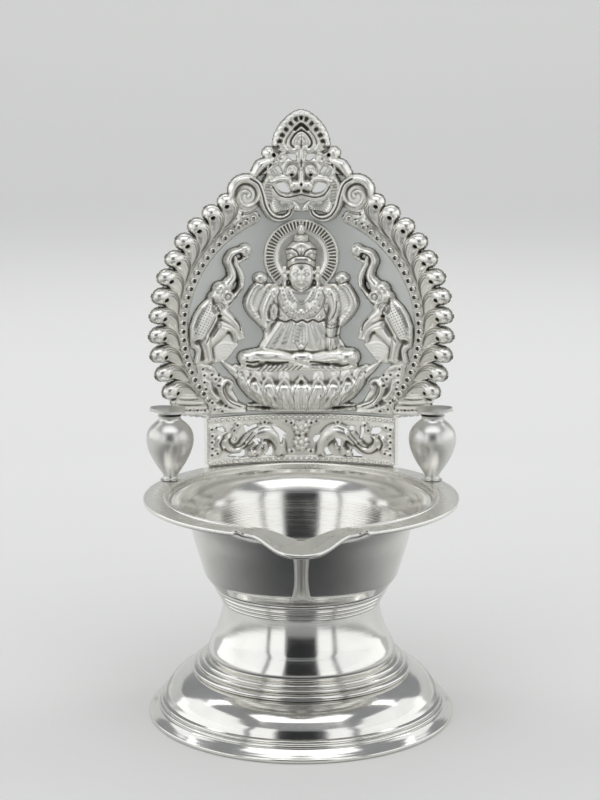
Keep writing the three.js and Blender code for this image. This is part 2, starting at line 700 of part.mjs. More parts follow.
// Petal border: bulbs on curved tails over a flat band, one side of the arch
function petals(side) {
  const low = PETAL_TOP - PETAL_PITCH * (PETALS - 1);
  const inner = PEARL_R + PEARL + 2 * GAP;
  const strip = (margin) => mirrored(band(
    inner - margin, PETAL_R - 0.3 * PETAL + margin, low - 0.8 * PETAL_PITCH, PETAL_TOP + 0.3 * PETAL_PITCH, 14,
  ), side);
  const bulbs = Array.from({ length: PETALS }, (_, i) => {
    const angle = PETAL_TOP - PETAL_PITCH * i;
    const tip = polar(PETAL_R, angle);
    const root = polar(inner + 0.8, angle - 0.35 * PETAL_PITCH);
    const tail = [tip, root].map((p) => [side * p.x, p.y]);
    return [boss(side * tip.x, tip.y, PETAL, PETAL, 2 * RELIEF, 0, 6), cord(tail, 0.4 * PETAL, 1)];
  });
  return [ground(strip, 0.6 * RELIEF), ...bulbs.flat()];
}

// The slots pierced between the upper petals, on one side
function petalSlots(side) {
  const inner = PEARL_R + PEARL + 5 * GAP;
  return Array.from({ length: PETALS / 2 - 1 }, (_, i) => {
    const angle = PETAL_TOP - PETAL_PITCH * (i + 0.5);
    const corners = [
      polar(PETAL_R - 0.4 * PETAL, angle), polar(inner, angle + 0.12 * PETAL_PITCH),
      polar(inner, angle - 0.2 * PETAL_PITCH),
    ];
    return slab(mirrored(corners.map((p) => p.toArray()), side), -PLATE_DEPTH, PLATE_DEPTH);
  });
}

// The holes pierced round the beast of the lower panel, one side: shares of its half width and height
function panelHoles(side) {
  return [
    [[0.16, 0.6], [0.21, 0.71], [0.31, 0.76], [0.27, 0.64], [0.22, 0.39]],
    [[0.31, 0.2], [0.4, 0.2], [0.36, 0.32], [0.32, 0.34]],
    [[0.43, 0.48], [0.48, 0.36], [0.53, 0.49], [0.48, 0.55]],
    [[0.47, 0.78], [0.47, 0.7], [0.59, 0.63], [0.62, 0.78]],
    [[0.6, 0.2], [0.79, 0.2], [0.67, 0.26], [0.61, 0.32]],
    [[0.81, 0.72], [0.87, 0.68], [0.91, 0.75], [0.86, 0.79]],
  ].map((outline) => slab(
    outline.map(([x, y]) => [side * x * PANEL_HALF, y * PANEL_H]), -PLATE_DEPTH, PLATE_DEPTH,
  ));
}

// Rail: a rounded bar along the top or the foot of the lower panel
const rail = (y) => [cushion([
  [-PANEL_HALF, y - RAIL / 2], [PANEL_HALF, y - RAIL / 2], [PANEL_HALF, y + RAIL / 2], [-PANEL_HALF, y + RAIL / 2],
], 0.7 * RELIEF, 0.2 * RAIL)];

// Lower panel: two arched beasts with curling trunks and two flowers on a pierced ground
function lowerPanel() {
  const [low, high] = [RAIL + GAP, PANEL_H - RAIL - GAP];
  const spot = (x, y) => [x * PANEL_HALF, y * PANEL_H];
  const u = PANEL_H / 10;
  const field = (margin) => [
    [-PANEL_HALF - margin, low - margin], [PANEL_HALF + margin, low - margin],
    [PANEL_HALF + margin, high + margin], [-PANEL_HALF - margin, high + margin],
  ];
  return [
    ground(field, 0.6 * RELIEF),
    boss(...spot(0, 0.64), 1.4 * u, 1.3 * u, 1.5 * RELIEF, 0, 6),
    boss(...spot(0, 0.34), 1.4 * u, 1.3 * u, 1.5 * RELIEF, 0, 6),
    ...bothSides((side) => [
      boss(...spot(side * 0.4, 0.5), 3.1 * u, 2.4 * u, 1.6 * RELIEF),
      cord([spot(side * 0.5, 0.62), spot(side * 0.6, 0.46), spot(side * 0.7, 0.36), spot(side * 0.78, 0.46)], 0.8 * u, 1),
      boss(...spot(side * 0.84, 0.5), 1.65 * u, 1.4 * u, 1.3 * RELIEF, 0, 6),
    ]),
  ];
}

// Carrying sheet: cut to the plate's outline and pierced
function carryingSheet() {
  const w = FINIAL_W / 2;
  const earTop = PETAL_TOP - PETAL_PITCH * (PETALS - 1);
  const arch = Array.from({ length: 14 }, (_, i) =>
    polar(PETAL_R + 0.4 * PETAL, THREE.MathUtils.lerp(earTop, 90, i / 13)).toArray());
  const sideOutline = [
    [-1, 0], [PANEL_HALF, 0], [PANEL_HALF, PANEL_H + GAP], [EAR_X, PANEL_H + GAP + EAR_RISE],
    [EAR_X, PANEL_H + EAR_H], ...arch, [-1, arch.at(-1)[1]],
  ];
  const crest = [
    [-1, ARCH_H], [VOLUTE_X, VOLUTE_Z - VOLUTE_R], [VOLUTE_X + VOLUTE_R, VOLUTE_Z - 0.5 * VOLUTE_R],
    [VOLUTE_X + 0.9 * VOLUTE_R, VOLUTE_Z + 0.5 * VOLUTE_R], [VOLUTE_X, VOLUTE_Z + 1.1 * VOLUTE_R],
    [1.7 * w, FINIAL_BASE - 0.5 * FINIAL_H], [1.4 * w, FINIAL_BASE - 0.16 * FINIAL_H],
    [1.35 * w, FINIAL_BASE + 0.1 * FINIAL_H], [0.8 * w, FINIAL_BASE + 0.2 * FINIAL_H],
    [-1, FINIAL_BASE + 0.2 * FINIAL_H],
  ];
  const flat = (outline) => slab(outline, -PLATE_SHEET, 0);
  const body = joined([
    flat(finialOutline(0.96)),
    ...bothSides((side) => [flat(mirrored(sideOutline, side)), flat(mirrored(crest, side))]),
  ]);
  const openings = bothSides((side) => [...petalSlots(side), ...panelHoles(side), grin(side)]);
  return body.subtract(joined(openings));
}

// Folded edge: the strip turned back along the panel's side and under the ear
function foldedEdge(side) {
  const under = PANEL_H + GAP;
  const strip = mirrored([
    [PANEL_HALF - PLATE_SHEET, 0], [PANEL_HALF, 0], [PANEL_HALF, under], [EAR_X, under + EAR_RISE],
    [EAR_X, under + EAR_RISE + PLATE_SHEET], [PANEL_HALF - PLATE_SHEET, under + PLATE_SHEET],
  ], side);
  return slab(strip, -PLATE_SHEET - GAP - FLANGE, -PLATE_SHEET - GAP);
}

// The lamp, from the floor up
place('foot', POLISHED, foot());
place('stepped_ring', POLISHED, steppedRing());
place('waist', POLISHED, waist());
place('collar', POLISHED, collar());
place('bowl', POLISHED, bowl());
place('rim_plate', POLISHED, rimSweep(0, 0));
place('opening_bead', POLISHED, openingBead());
place('wick_rib', POLISHED, wickRib());
place('back_sheet', SATIN, bent(carryingSheet()));
const sides = [['left', -1], ['right', 1]];
for (const [word, side] of sides) {
  place(`vase_pillar_${word}`, POLISHED, vase(side));
  place(`leaf_cap_${word}`, POLISHED, leafCap(side));
  place(`folded_edge_${word}`, STRUCK, bent(foldedEdge(side)));
}

relief('goddess', goddess());
relief('lotus_seat', lotus());
relief('halo', halo());
for (const [word, side] of sides) relief(`elephant_${word}`, elephant(side));
relief('panel_rail_bottom', rail(RAIL / 2));
relief('panel_rail_top', rail(PANEL_H - RAIL / 2));
relief('lower_panel', lowerPanel(), bothSides(panelHoles));
relief('finial', [cushion(finialOutline(1), 2 * RELIEF)], [slab(finialOutline(0.56), RELIEF, PLATE_DEPTH)]);
for (const [word, side] of sides) relief(`scroll_${word}`, scroll(side));
relief('lion_mask', mask(), bothSides((side) => [grin(side)]));
for (const [word, side] of sides) {
  relief(`crest_lobes_${word}`, crestLobes(side));
  relief(`pearl_row_${word}`, pearlRow(side));
  relief(`petal_border_${word}`, petals(side), petalSlots(side));
  relief(`foliage_${word}`, foliage(side));
  relief(`ear_${word}`, ear(side));
}

// The origin goes below the middle of the box
const box = new THREE.Box3().setFromObject(lamp, true);
lamp.position.y = -Math.round(GRID * (box.min.y + box.max.y) / 2) / GRID;

export default lamp;
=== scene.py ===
import math

import bpy
import numpy as np
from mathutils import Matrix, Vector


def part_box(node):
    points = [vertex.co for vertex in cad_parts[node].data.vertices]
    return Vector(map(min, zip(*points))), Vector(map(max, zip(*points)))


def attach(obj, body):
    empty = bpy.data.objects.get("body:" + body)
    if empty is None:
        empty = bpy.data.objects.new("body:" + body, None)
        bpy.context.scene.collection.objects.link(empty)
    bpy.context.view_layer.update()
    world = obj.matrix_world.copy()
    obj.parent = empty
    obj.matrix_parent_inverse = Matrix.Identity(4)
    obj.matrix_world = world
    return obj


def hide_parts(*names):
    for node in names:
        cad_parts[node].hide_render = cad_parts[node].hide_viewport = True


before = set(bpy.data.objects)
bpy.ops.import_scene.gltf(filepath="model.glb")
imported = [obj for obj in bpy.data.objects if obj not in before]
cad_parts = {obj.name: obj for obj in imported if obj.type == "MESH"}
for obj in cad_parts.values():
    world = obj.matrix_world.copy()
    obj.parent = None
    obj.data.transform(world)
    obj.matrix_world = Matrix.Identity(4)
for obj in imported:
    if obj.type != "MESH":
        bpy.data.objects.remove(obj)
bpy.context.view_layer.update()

# The foot is a dome spun from sheet silver over a chuck, with two fine beads above a rolled edge
# that stands on the table. It is buffed to a mirror, and the spinning leaves faint rings on it.
MM = 0.001
AXIS_Y = (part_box("waist")[0].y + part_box("waist")[1].y) / 2 / MM
TURNED_STEPS = 160
WELD = 0.002 * MM


def smooth_line(points, steps=6):
    """Points on a smooth line through the given ones."""
    p = np.array(points, float)
    p = np.vstack([2 * p[0] - p[1], p, 2 * p[-1] - p[-2]])
    t = np.linspace(0, 1, steps, endpoint=False)[:, None]
    runs = [
        0.5 * (2 * b + (c - a) * t + (2 * a - 5 * b + 4 * c - d) * t**2 + (3 * b - a - 3 * c + d) * t**3)
        for a, b, c, d in zip(p, p[1:], p[2:], p[3:])
    ]
    return np.vstack([*runs, p[-2]])


def linear(code):
    """An sRGB hex colour as the linear colour that Blender takes."""
    parts = [int(code[i : i + 2], 16) / 255 for i in (1, 3, 5)]
    return (*[c / 12.92 if c <= 0.04045 else ((c + 0.055) / 1.055) ** 2.4 for c in parts], 1.0)


def add_node(tree, kind, inputs=None, **settings):
    """A node with its settings. An input takes a value, a socket, or a node's first output."""
    node = tree.nodes.new(kind)
    for key, value in settings.items():
        setattr(node, key, value)
    for key, value in (inputs or {}).items():
        if isinstance(value, bpy.types.Node):
            value = value.outputs[0]
        if isinstance(value, bpy.types.NodeSocket):
            tree.links.new(value, node.inputs[key])
        else:
            node.inputs[key].default_value = value
    return node


def calc(tree, operation, *values):
    """A node that does one operation on the given values."""
    return add_node(tree, "ShaderNodeMath", dict(enumerate(values)), operation=operation)


def blank_material(name):
    """A material with an empty tree."""
    material = bpy.data.materials.new(name)
    material.use_nodes = True
    material.node_tree.nodes.clear()
    return material, material.node_tree


def close_material(tree, inputs):
    """Ends a material's tree with a surface of the given inputs."""
    surface = add_node(tree, "ShaderNodeBsdfPrincipled", inputs)
    add_node(tree, "ShaderNodeOutputMaterial", {"Surface": surface})


def polished_silver(name, colour, ring_mm, ring_depth_mm, roughness):
    """Sterling silver, spun and buffed: mirror bright, with faint rings about the lamp's axis and a
    soft haze of handling, so that its reflections are clear but a little brushed."""
    material, tree = blank_material(name)
    place = add_node(tree, "ShaderNodeTexCoord").outputs["Object"]
    centred = add_node(tree, "ShaderNodeMapping", {"Vector": place, "Location": (0, -AXIS_Y * MM, 0)})
    parts = add_node(tree, "ShaderNodeSeparateXYZ", {"Vector": centred}).outputs
    flat = add_node(tree, "ShaderNodeCombineXYZ", {"X": parts["X"], "Y": parts["Y"]})
    radius = add_node(tree, "ShaderNodeVectorMath", {0: flat}, operation="LENGTH").outputs["Value"]
    ring_place = add_node(tree, "ShaderNodeCombineXYZ", {"X": radius, "Z": parts["Z"]})
    ring_noise = {"Vector": ring_place, "Scale": 1 / (ring_mm * MM), "Detail": 2.0, "Roughness": 0.6}
    rings = add_node(tree, "ShaderNodeTexNoise", ring_noise)
    haze_noise = {"Vector": centred, "Scale": 140.0, "Detail": 4.0, "Roughness": 0.6}
    haze = add_node(tree, "ShaderNodeTexNoise", haze_noise)
    dulled = {"Value": haze, "From Min": 0.35, "From Max": 0.7, "To Min": roughness,
        "To Max": roughness + 0.07}
    gloss = add_node(tree, "ShaderNodeMapRange", dulled)
    bump = add_node(tree, "ShaderNodeBump", {"Height": rings, "Strength": 0.35,
        "Distance": ring_depth_mm * MM})
    tones = {"Factor": haze, 6: linear(colour), 7: linear("#F6F5F1")}
    tint = add_node(tree, "ShaderNodeMix", tones, data_type="RGBA").outputs[2]
    close_material(tree, {"Base Color": tint, "Metallic": 1.0, "Roughness": gloss, "Normal": bump})
    return material


def new_tree(name, labels):
    """An empty Geometry Nodes tree with named inputs, and the sockets that bring them in."""
    tree = bpy.data.node_groups.new(name, "GeometryNodeTree")
    tree.is_modifier = True
    for label, kind in labels.items():
        tree.interface.new_socket(label, in_out="INPUT", socket_type="NodeSocket" + kind)
    tree.interface.new_socket("Piece", in_out="OUTPUT", socket_type="NodeSocketGeometry")
    return tree, add_node(tree, "NodeGroupInput").outputs


def close_tree(tree, geometry, given, bend=None):
    """Ends a tree: the piece is made real, bent where it has to be, and covered with its silver."""
    real = add_node(tree, "GeometryNodeRealizeInstances", {"Geometry": geometry})
    shaped = bend(tree, real, given) if bend else real
    covered = add_node(tree, "GeometryNodeSetMaterial", {"Geometry": shaped, "Material": given["Silver"]})
    add_node(tree, "NodeGroupOutput", {"Piece": covered})


# A tree that turns a line of points, each a radius in X and a height in Z, about an upright axis.
turning, given = new_tree(
    "turned on the lathe",
    {"Profile": "Geometry", "Steps": "Int", "Axis X": "Float", "Axis Y": "Float", "Silver": "Material"},
)
count = add_node(turning, "GeometryNodeAttributeDomainSize", {"Geometry": given["Profile"]}, component="MESH")
around = calc(turning, "ADD", given["Steps"], 1.0)
grid = add_node(turning, "GeometryNodeMeshGrid", {"Vertices X": count, "Vertices Y": around})
index = add_node(turning, "GeometryNodeInputIndex")
row = calc(turning, "FLOOR", calc(turning, "DIVIDE", index, around))
column = calc(turning, "MODULO", index, around)
angle = calc(turning, "MULTIPLY", column, calc(turning, "DIVIDE", math.tau, given["Steps"]))
picked = {"Geometry": given["Profile"], "Index": row}
sample = add_node(turning, "GeometryNodeSampleIndex", picked, data_type="FLOAT_VECTOR")
turning.links.new(add_node(turning, "GeometryNodeInputPosition").outputs[0], sample.inputs["Value"])
point = add_node(turning, "ShaderNodeSeparateXYZ", {"Vector": sample.outputs["Value"]}).outputs
across = calc(turning, "MULTIPLY_ADD", point["X"], calc(turning, "COSINE", angle), given["Axis X"])
deep = calc(turning, "MULTIPLY_ADD", point["X"], calc(turning, "SINE", angle), given["Axis Y"])
spot = add_node(turning, "ShaderNodeCombineXYZ", {"X": across, "Y": deep, "Z": point["Z"]})
swept = add_node(turning, "GeometryNodeSetPosition", {"Geometry": grid, "Position": spot})
welded = add_node(turning, "GeometryNodeMergeByDistance", {"Geometry": swept, "Distance": WELD})
close_tree(turning, welded, given)


def run_tree(holder, tree, values):
    """The plain mesh that a tree makes of the holder, with the tree's inputs set by name."""
    modifier = holder.modifiers.new(tree.name, "NODES")
    modifier.node_group = tree
    for item in tree.interface.items_tree:
        if item.item_type == "SOCKET" and item.in_out == "INPUT" and item.name in values:
            modifier[item.identifier] = values[item.name]
    bpy.context.view_layer.update()
    evaluated = holder.evaluated_get(bpy.context.evaluated_depsgraph_get())
    mesh = bpy.data.meshes.new_from_object(evaluated)
    bpy.data.objects.remove(holder)
    return mesh


def new_object(name, data):
    """An object in the scene."""
    made = bpy.data.objects.new(name, data)
    bpy.context.scene.collection.objects.link(made)
    return made


def places_of(mesh):
    """A mesh's points as rows of an array, in metres."""
    places = np.zeros(3 * len(mesh.vertices))
    mesh.vertices.foreach_get("co", places)
    return places.reshape(-1, 3)


def face_out(mesh):
    """Turns a closed mesh's faces outwards."""
    mesh.calc_loop_triangles()
    corners = np.zeros(3 * len(mesh.loop_triangles), np.int32)
    mesh.loop_triangles.foreach_get("vertices", corners)
    a, b, c = places_of(mesh)[corners.reshape(-1, 3)].transpose(1, 0, 2)
    if np.einsum("ij,ij->i", a, np.cross(b, c)).sum() < 0:
        mesh.flip_normals()


def finished(name, mesh, node, crease=40):
    """A finished piece, which rides on the lamp and stands for its CAD node."""
    face_out(mesh)
    mesh.shade_smooth()
    mesh.set_sharp_from_angle(angle=math.radians(crease))
    piece = new_object(name, mesh)
    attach(piece, "root")
    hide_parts(node)


def line_object(name, points):
    """An object that holds a line of points in X and Z, in millimetres, joined by edges."""
    mesh = bpy.data.meshes.new(name)
    edges = [(i, i + 1) for i in range(len(points) - 1)]
    mesh.from_pydata([(x * MM, 0, z * MM) for x, z in points], edges, [])
    return new_object(name, mesh)


def turned_mesh(name, profile, material, steps=TURNED_STEPS, axis=(0.0, AXIS_Y * MM)):
    """A mesh turned from a profile of [radius, height] in millimetres, about an axis in metres."""
    values = {"Steps": steps, "Axis X": axis[0], "Axis Y": axis[1], "Silver": material}
    return run_tree(line_object(name + "_profile", profile), turning, values)


mirror_silver = polished_silver("spun silver, buffed", "#D8D7D3", 0.35, 0.03, 0.1)
FOOT_OUTSIDE = [*smooth_line([(30.7, 0), (31.2, 0.08), (31.45, 0.4), (31.4, 0.8), (31.1, 1.05)], 4),
    *smooth_line([(30.9, 1.2), (30.2, 1.75), (29.65, 2.3)], 4), *smooth_line([(29.5, 2.35), (29.55, 2.6),
    (29.4, 2.9), (29.05, 3.0)], 4), *smooth_line([(28.9, 3.0), (29.0, 3.3), (28.85, 3.6), (28.45, 3.7)], 4),
    *smooth_line([(28.2, 3.75), (27.95, 4.3), (27.6, 5.1), (27.0, 6.0), (26.2, 7.0), (24.9, 8.0),
    (23.4, 8.75), (22.3, 9.15), (21.7, 9.3)], 5)]
FOOT_INSIDE = smooth_line([(21.0, 9.3), (21.2, 8.6), (22.8, 8.1), (24.3, 7.3), (25.4, 6.4), (26.3, 5.3),
    (27.2, 3.7), (28.6, 2.0), (29.9, 0.9), (30.2, 0.3), (30.35, 0)], 4)
foot_profile = [*FOOT_OUTSIDE, *FOOT_INSIDE, FOOT_OUTSIDE[0]]
finished("foot_dome", turned_mesh("foot_dome", foot_profile, mirror_silver), "foot")

# The stepped ring is turned from thicker metal: two fine rounded steps that cover the seam
# between the foot and the waist, polished with them.
RING_PROFILE = [
    (17.6, 9.3),
    *smooth_line([(21.9, 9.3), (22.4, 9.4), (22.6, 9.8), (22.45, 10.2), (22.0, 10.4), (21.5, 10.45)], 4),
    *smooth_line([(21.1, 10.5), (21.4, 10.7), (21.4, 11.0), (21.1, 11.25), (20.6, 11.3)], 4),
    *smooth_line([(20.3, 11.35), (20.35, 11.55), (20.1, 11.85), (19.6, 12.0)], 4),
    (17.6, 12.0),
    (17.6, 9.3),
]
ring_mesh = turned_mesh("stepped_ring_silver", RING_PROFILE, mirror_silver)
finished("stepped_ring_silver", ring_mesh, "stepped_ring")

# The waist is a drum spun from sheet silver, swollen where it stands on the ring and drawn in to
# the neck, and polished like the foot.
WAIST_OUTSIDE = smooth_line([(18.75, 12.0), (19.1, 12.35), (19.25, 13.0), (19.1, 13.8), (18.7, 14.8),
    (18.15, 15.9), (17.5, 17.1), (16.95, 18.6), (16.45, 20.4), (16.1, 22.1), (15.9, 23.4)], 5)
WAIST_INSIDE = smooth_line([(15.1, 23.4), (15.4, 21.5), (16.1, 18.9), (17.0, 16.8), (18.2, 14.2),
    (18.3, 13.0), (17.9, 12.0)], 4)
waist_profile = [*WAIST_OUTSIDE, *WAIST_INSIDE, WAIST_OUTSIDE[0]]
finished("waist_drum", turned_mesh("waist_drum", waist_profile, mirror_silver), "waist")

# The collar is a ring turned from silver that flares in four fine steps from the neck to the
# bowl, and is soldered between them.
COLLAR_PROFILE = [
    (12.0, 23.4),
    (15.9, 23.4),
    *smooth_line([(15.95, 23.5), (16.25, 23.65), (16.3, 23.95), (16.1, 24.2)], 3),
    *smooth_line([(16.25, 24.3), (16.65, 24.5), (16.7, 24.85), (16.5, 25.1)], 3),
    *smooth_line([(16.65, 25.2), (17.1, 25.4), (17.15, 25.7), (17.0, 25.95)], 3),
    *smooth_line([(17.15, 26.05), (17.6, 26.25), (17.75, 26.6), (17.7, 27.0)], 3),
    (12.0, 27.0),
    (12.0, 23.4),
]
finished("collar_ring", turned_mesh("collar_ring", COLLAR_PROFILE, mirror_silver),
    "collar")

# The bowl is spun from one disc of silver. Its mouth is pressed down at the front, where the oil
# runs to the wick, and its inside keeps the fine scratches of cleaning.
LIP_HALF = 12.2
LIP_DIP = 1.0
LIP_DROP = 2.4
LIP_OUT = 3.5
RIM_R = 32.0
PRESSED_FROM = 37.0
PRESSED_OVER = 7.6
BOWL_OUTSIDE = smooth_line([(17.2, 27.0), (17.9, 27.2), (18.5, 27.9), (19.1, 28.7), (19.7, 29.6),
    (20.15, 31), (20.6, 32.5), (21.05, 34), (21.5, 35.5), (21.9, 37), (22.25, 38.6), (22.6, 40),
    (23.1, 41.2), (24.2, 42.7), (25.6, 43.8), (27.4, 44.6)], 4)
BOWL_INSIDE = smooth_line([(26.6, 44.6), (25.1, 43.9), (23.7, 42.9), (22.6, 41.5), (21.85, 40),
    (21.4, 38.4), (21.0, 36.8), (20.5, 35), (20.0, 33.3), (19.4, 31.6), (18.6, 30.0), (17.6, 28.7),
    (16.2, 28.0), (14.5, 27.8)], 4)
bowl_profile = [(0, 27.0), (12, 27.0), *BOWL_OUTSIDE, *BOWL_INSIDE, (8, 27.8), (0, 27.8)]


def lip_share(x, y):
    """How far the lip's swell reaches at a point about the axis: 1 at its middle, 0 past its ends."""
    angle = np.arctan2(y, x)
    run = RIM_R * np.cos(angle) / LIP_HALF
    wide = 0.5 + 0.5 * np.cos(np.pi * np.clip(run, -1, 1))
    channel = np.clip((0.78 - np.abs(run)) / 0.58, 0, 1)
    return np.where(y < 0, 0.3 * wide + 0.7 * channel * channel * (3 - 2 * channel), 0.0)


bowl_mesh = turned_mesh("bowl_spun", bowl_profile, mirror_silver, 192)
spots = places_of(bowl_mesh)
rise = np.clip((spots[:, 2] / MM - PRESSED_FROM) / PRESSED_OVER, 0, 1) ** 2
spots[:, 2] -= (LIP_DIP + 0.15) * MM * rise * lip_share(spots[:, 0], spots[:, 1] - AXIS_Y * MM)
bowl_mesh.vertices.foreach_set("co", spots.ravel())
face_out(bowl_mesh)
bowl_mesh.materials.clear()
bowl_mesh.materials.append(mirror_silver)
bowl_mesh.materials.append(polished_silver("spun silver, scoured inside", "#DFDEDA", 0.2, 0.05, 0.12))
for face in bowl_mesh.polygons:
    out = face.center.x * face.normal.x + (face.center.y - AXIS_Y * MM) * face.normal.y
    face.material_index = 1 if out < 0 or face.normal.z > 0.5 else 0
finished("bowl_spun", bowl_mesh, "bowl")

# The rim plate is a flat ring of sheet soldered on the bowl's mouth. At the front it swells out
# and sags into the wick's lip, whose hammered edge ends in a small curl on either side.
RIM_IN = 27.0
RIM_TOP = 45.4
RIM_SHEET = 0.8
RIM_STEPS = 384
CURL_OUT = 0.8
CURL_UP = 0.75
CURL_WIDTH = 0.65
TROUGH_WIDTH = 3.8
RIM_SECTION = [
    (0.0, 1.0), (0.25, 1.0), (0.5, 1.0), (0.72, 1.0), (0.86, 1.0), (0.94, 1.02), (0.98, 1.0), (0.995, 0.85),
    (1.0, 0.5), (0.995, 0.15), (0.98, 0.0), (0.9, 0.0), (0.6, 0.0), (0.3, 0.0), (0.0, 0.0),
]


def plain_mesh(name, points, faces, *materials):
    """A mesh from its points in metres, its faces and its materials."""
    mesh = bpy.data.meshes.new(name)
    mesh.from_pydata(points, [], faces)
    for material in materials:
        mesh.materials.append(material)
    return mesh


def loop_faces(rings, sides, closed=False):
    """Four-sided faces between closed rings of points, where the last ring may meet the first."""
    faces = []
    for i in range(rings if closed else rings - 1):
        a, b = i * sides, (i + 1) % rings * sides
        faces += [(a + k, a + (k + 1) % sides, b + (k + 1) % sides, b + k) for k in range(sides)]
    return faces


rim_angles = -np.pi / 2 + 2 * np.pi * np.arange(RIM_STEPS) / RIM_STEPS
rim_share = lip_share(np.cos(rim_angles), np.sin(rim_angles))
rim_cross = RIM_R * np.cos(rim_angles)
in_front = np.sin(rim_angles) < 0
curl = np.where(in_front, np.exp(-(((np.abs(rim_cross) - LIP_HALF + 0.1) / CURL_WIDTH) ** 2)), 0.0)
rim_rings = []
for share_out, level in RIM_SECTION:
    reach = RIM_R + LIP_OUT * rim_share + CURL_OUT * curl
    radius_here = RIM_IN + (reach - RIM_IN) * share_out
    sag = (LIP_DIP + (LIP_DROP - LIP_DIP) * share_out**0.8) * rim_share
    trough = (1.0 - 0.6 * share_out) * np.exp(-((rim_cross / TROUGH_WIDTH) ** 2)) * in_front
    height = RIM_TOP - RIM_SHEET * (1 - level) - sag - trough + CURL_UP * curl * share_out**3
    ring = [radius_here * np.cos(rim_angles), AXIS_Y + radius_here * np.sin(rim_angles), height]
    rim_rings.append(np.stack(ring, -1))
rim_points = (np.concatenate(rim_rings) * MM).tolist()
rim_silver = polished_silver("rim sheet, planished", "#ECEBE6", 1.4, 0.06, 0.24)
rim_faces = loop_faces(len(RIM_SECTION), RIM_STEPS, closed=True)
rim_mesh = plain_mesh("rim_plate_silver", rim_points, rim_faces, rim_silver)
finished("rim_plate_silver", rim_mesh, "rim_plate")

# A fine bead, drawn as half-round wire, is soldered round the opening and dies out at the lip.
WIRE_R = 27.55
WIRE_HALF = 0.45
WIRE_STATIONS = 241
WIRE_SIDES = 10
LIP_GAP = 38
bead_points = []
for i in range(WIRE_STATIONS):
    turn = math.radians(-90 + LIP_GAP / 2 + (360 - LIP_GAP) * i / (WIRE_STATIONS - 1))
    fade = min(1, min(i, WIRE_STATIONS - 1 - i) / 10)
    thick = WIRE_HALF * math.sqrt(max(fade, 0.02))
    for k in range(WIRE_SIDES):
        lean = math.pi * k / (WIRE_SIDES - 1)
        out = WIRE_R + thick * math.cos(lean)
        up = RIM_TOP - 0.05 + 0.85 * thick * math.sin(lean)
        bead_points.append((out * math.cos(turn) * MM, (AXIS_Y + out * math.sin(turn)) * MM, up * MM))
last = len(bead_points) - WIRE_SIDES
bead_ends = [tuple(range(WIRE_SIDES)), tuple(range(last, last + WIRE_SIDES))[::-1]]
bead_faces = loop_faces(WIRE_STATIONS, WIRE_SIDES) + bead_ends
bead_mesh = plain_mesh("opening_wire", bead_points, bead_faces, rim_silver)
finished("opening_wire", bead_mesh, "opening_bead")

# The rib is the outside of the wick's channel, pressed out of the bowl's front: a narrow round
# tongue with a crease down its middle that fades into the bowl.
RIB_PATH = [(22.9, 41.3), (22.45, 39.8), (22.1, 38), (21.7, 36.3), (21.3, 34.8), (20.9, 33.3),
    (20.45, 31.9), (19.95, 30.5), (19.35, 29.3), (18.9, 28.5)]
RIB_ACROSS = 25
RIB_PROUD = 1.9


def slab_faces(rows, across):
    """Faces of a closed slab, whose points are a front grid of rows and then a back one."""
    n, faces = rows * across, []
    for i in range(rows - 1):
        for k in range(across - 1):
            a = i * across + k
            b = a + across
            faces += [(a, a + 1, b + 1, b), (n + b, n + b + 1, n + a + 1, n + a)]
    rim = [*range(0, n - across, across), *range(n - across, n)]
    rim += [*range(n - across - 1, across - 1, -across), *range(across - 1, 0, -1)]
    return faces + [(a, b, b + n, a + n) for a, b in zip(rim, rim[1:] + rim[:1])]


rib_line = smooth_line(RIB_PATH, 5)
rib_points = []
for layer, sunk in enumerate((0.25, 0.5)):
    for i, (r, z) in enumerate(rib_line):
        down = i / (len(rib_line) - 1)
        half = 2.0 - 0.6 * math.sin(math.pi * down) + 0.9 * down**7
        proud = RIB_PROUD * (1 - 0.35 * down) * min(1, (1 - down) / 0.1) ** 0.5
        for k in range(RIB_ACROSS):
            u = 2 * k / (RIB_ACROSS - 1) - 1
            x = u * half
            y = AXIS_Y - math.sqrt((r - sunk) ** 2 - x * x)
            if layer == 0:
                y -= proud * (1 - u * u) ** 0.6 - 0.6 * proud * math.exp(-((u / 0.26) ** 2)) + 0.05
            rib_points.append((x * MM, y * MM, z * MM))
rib_silver = polished_silver("pressed silver, satin", "#F4F3EE", 0.6, 0.02, 0.38)
rib_faces = slab_faces(len(rib_line), RIB_ACROSS)
rib_mesh = plain_mesh("wick_channel_rib", rib_points, rib_faces, rib_silver)
finished("wick_channel_rib", rib_mesh, "wick_rib")

# The back sheet is cut to the plate's outline, pierced, and curved about an upright axis. Its
# front is satin, and its back shows the soft hollows that striking the relief leaves.
PLATE_R = 44.0
PLATE_Y = 29.5
PANEL_HALF = 20.2
PLATE_FOOT = 45.55
PLATE_TOP = 121.6
ARCH_Z = 75.5
SHEET_T = 0.7
SHEET_GRAIN = 0.26
STRUCK_SHARE = 0.88
DEEPEST = -0.6
KEPT_FROM = -0.2
FINE_CREASE = 0.35
BROAD_CREASE = 1.0


def on_plate(x, z, h):
    """Flat plate coordinates in millimetres, bent to the plate's curve, in metres."""
    r = PLATE_R - h
    turn = np.clip(x / PLATE_R, -1, 1)
    return np.stack([r * turn, AXIS_Y + PLATE_Y - PLATE_R + r * np.sqrt(1 - turn**2), z + 0 * h], -1) * MM


def blurred(a, reach):
    """A copy blurred over a number of cells."""
    for axis in (0, 0, 1, 1):
        padded = np.pad(a, [(reach, reach) if k == axis else (0, 0) for k in (0, 1)], mode="edge")
        total = np.insert(np.cumsum(padded, axis=axis), 0, 0, axis=axis)
        n = np.arange(a.shape[axis])
        a = (np.take(total, n + 2 * reach + 1, axis=axis) - np.take(total, n, axis=axis)) / (2 * reach + 1)
    return a


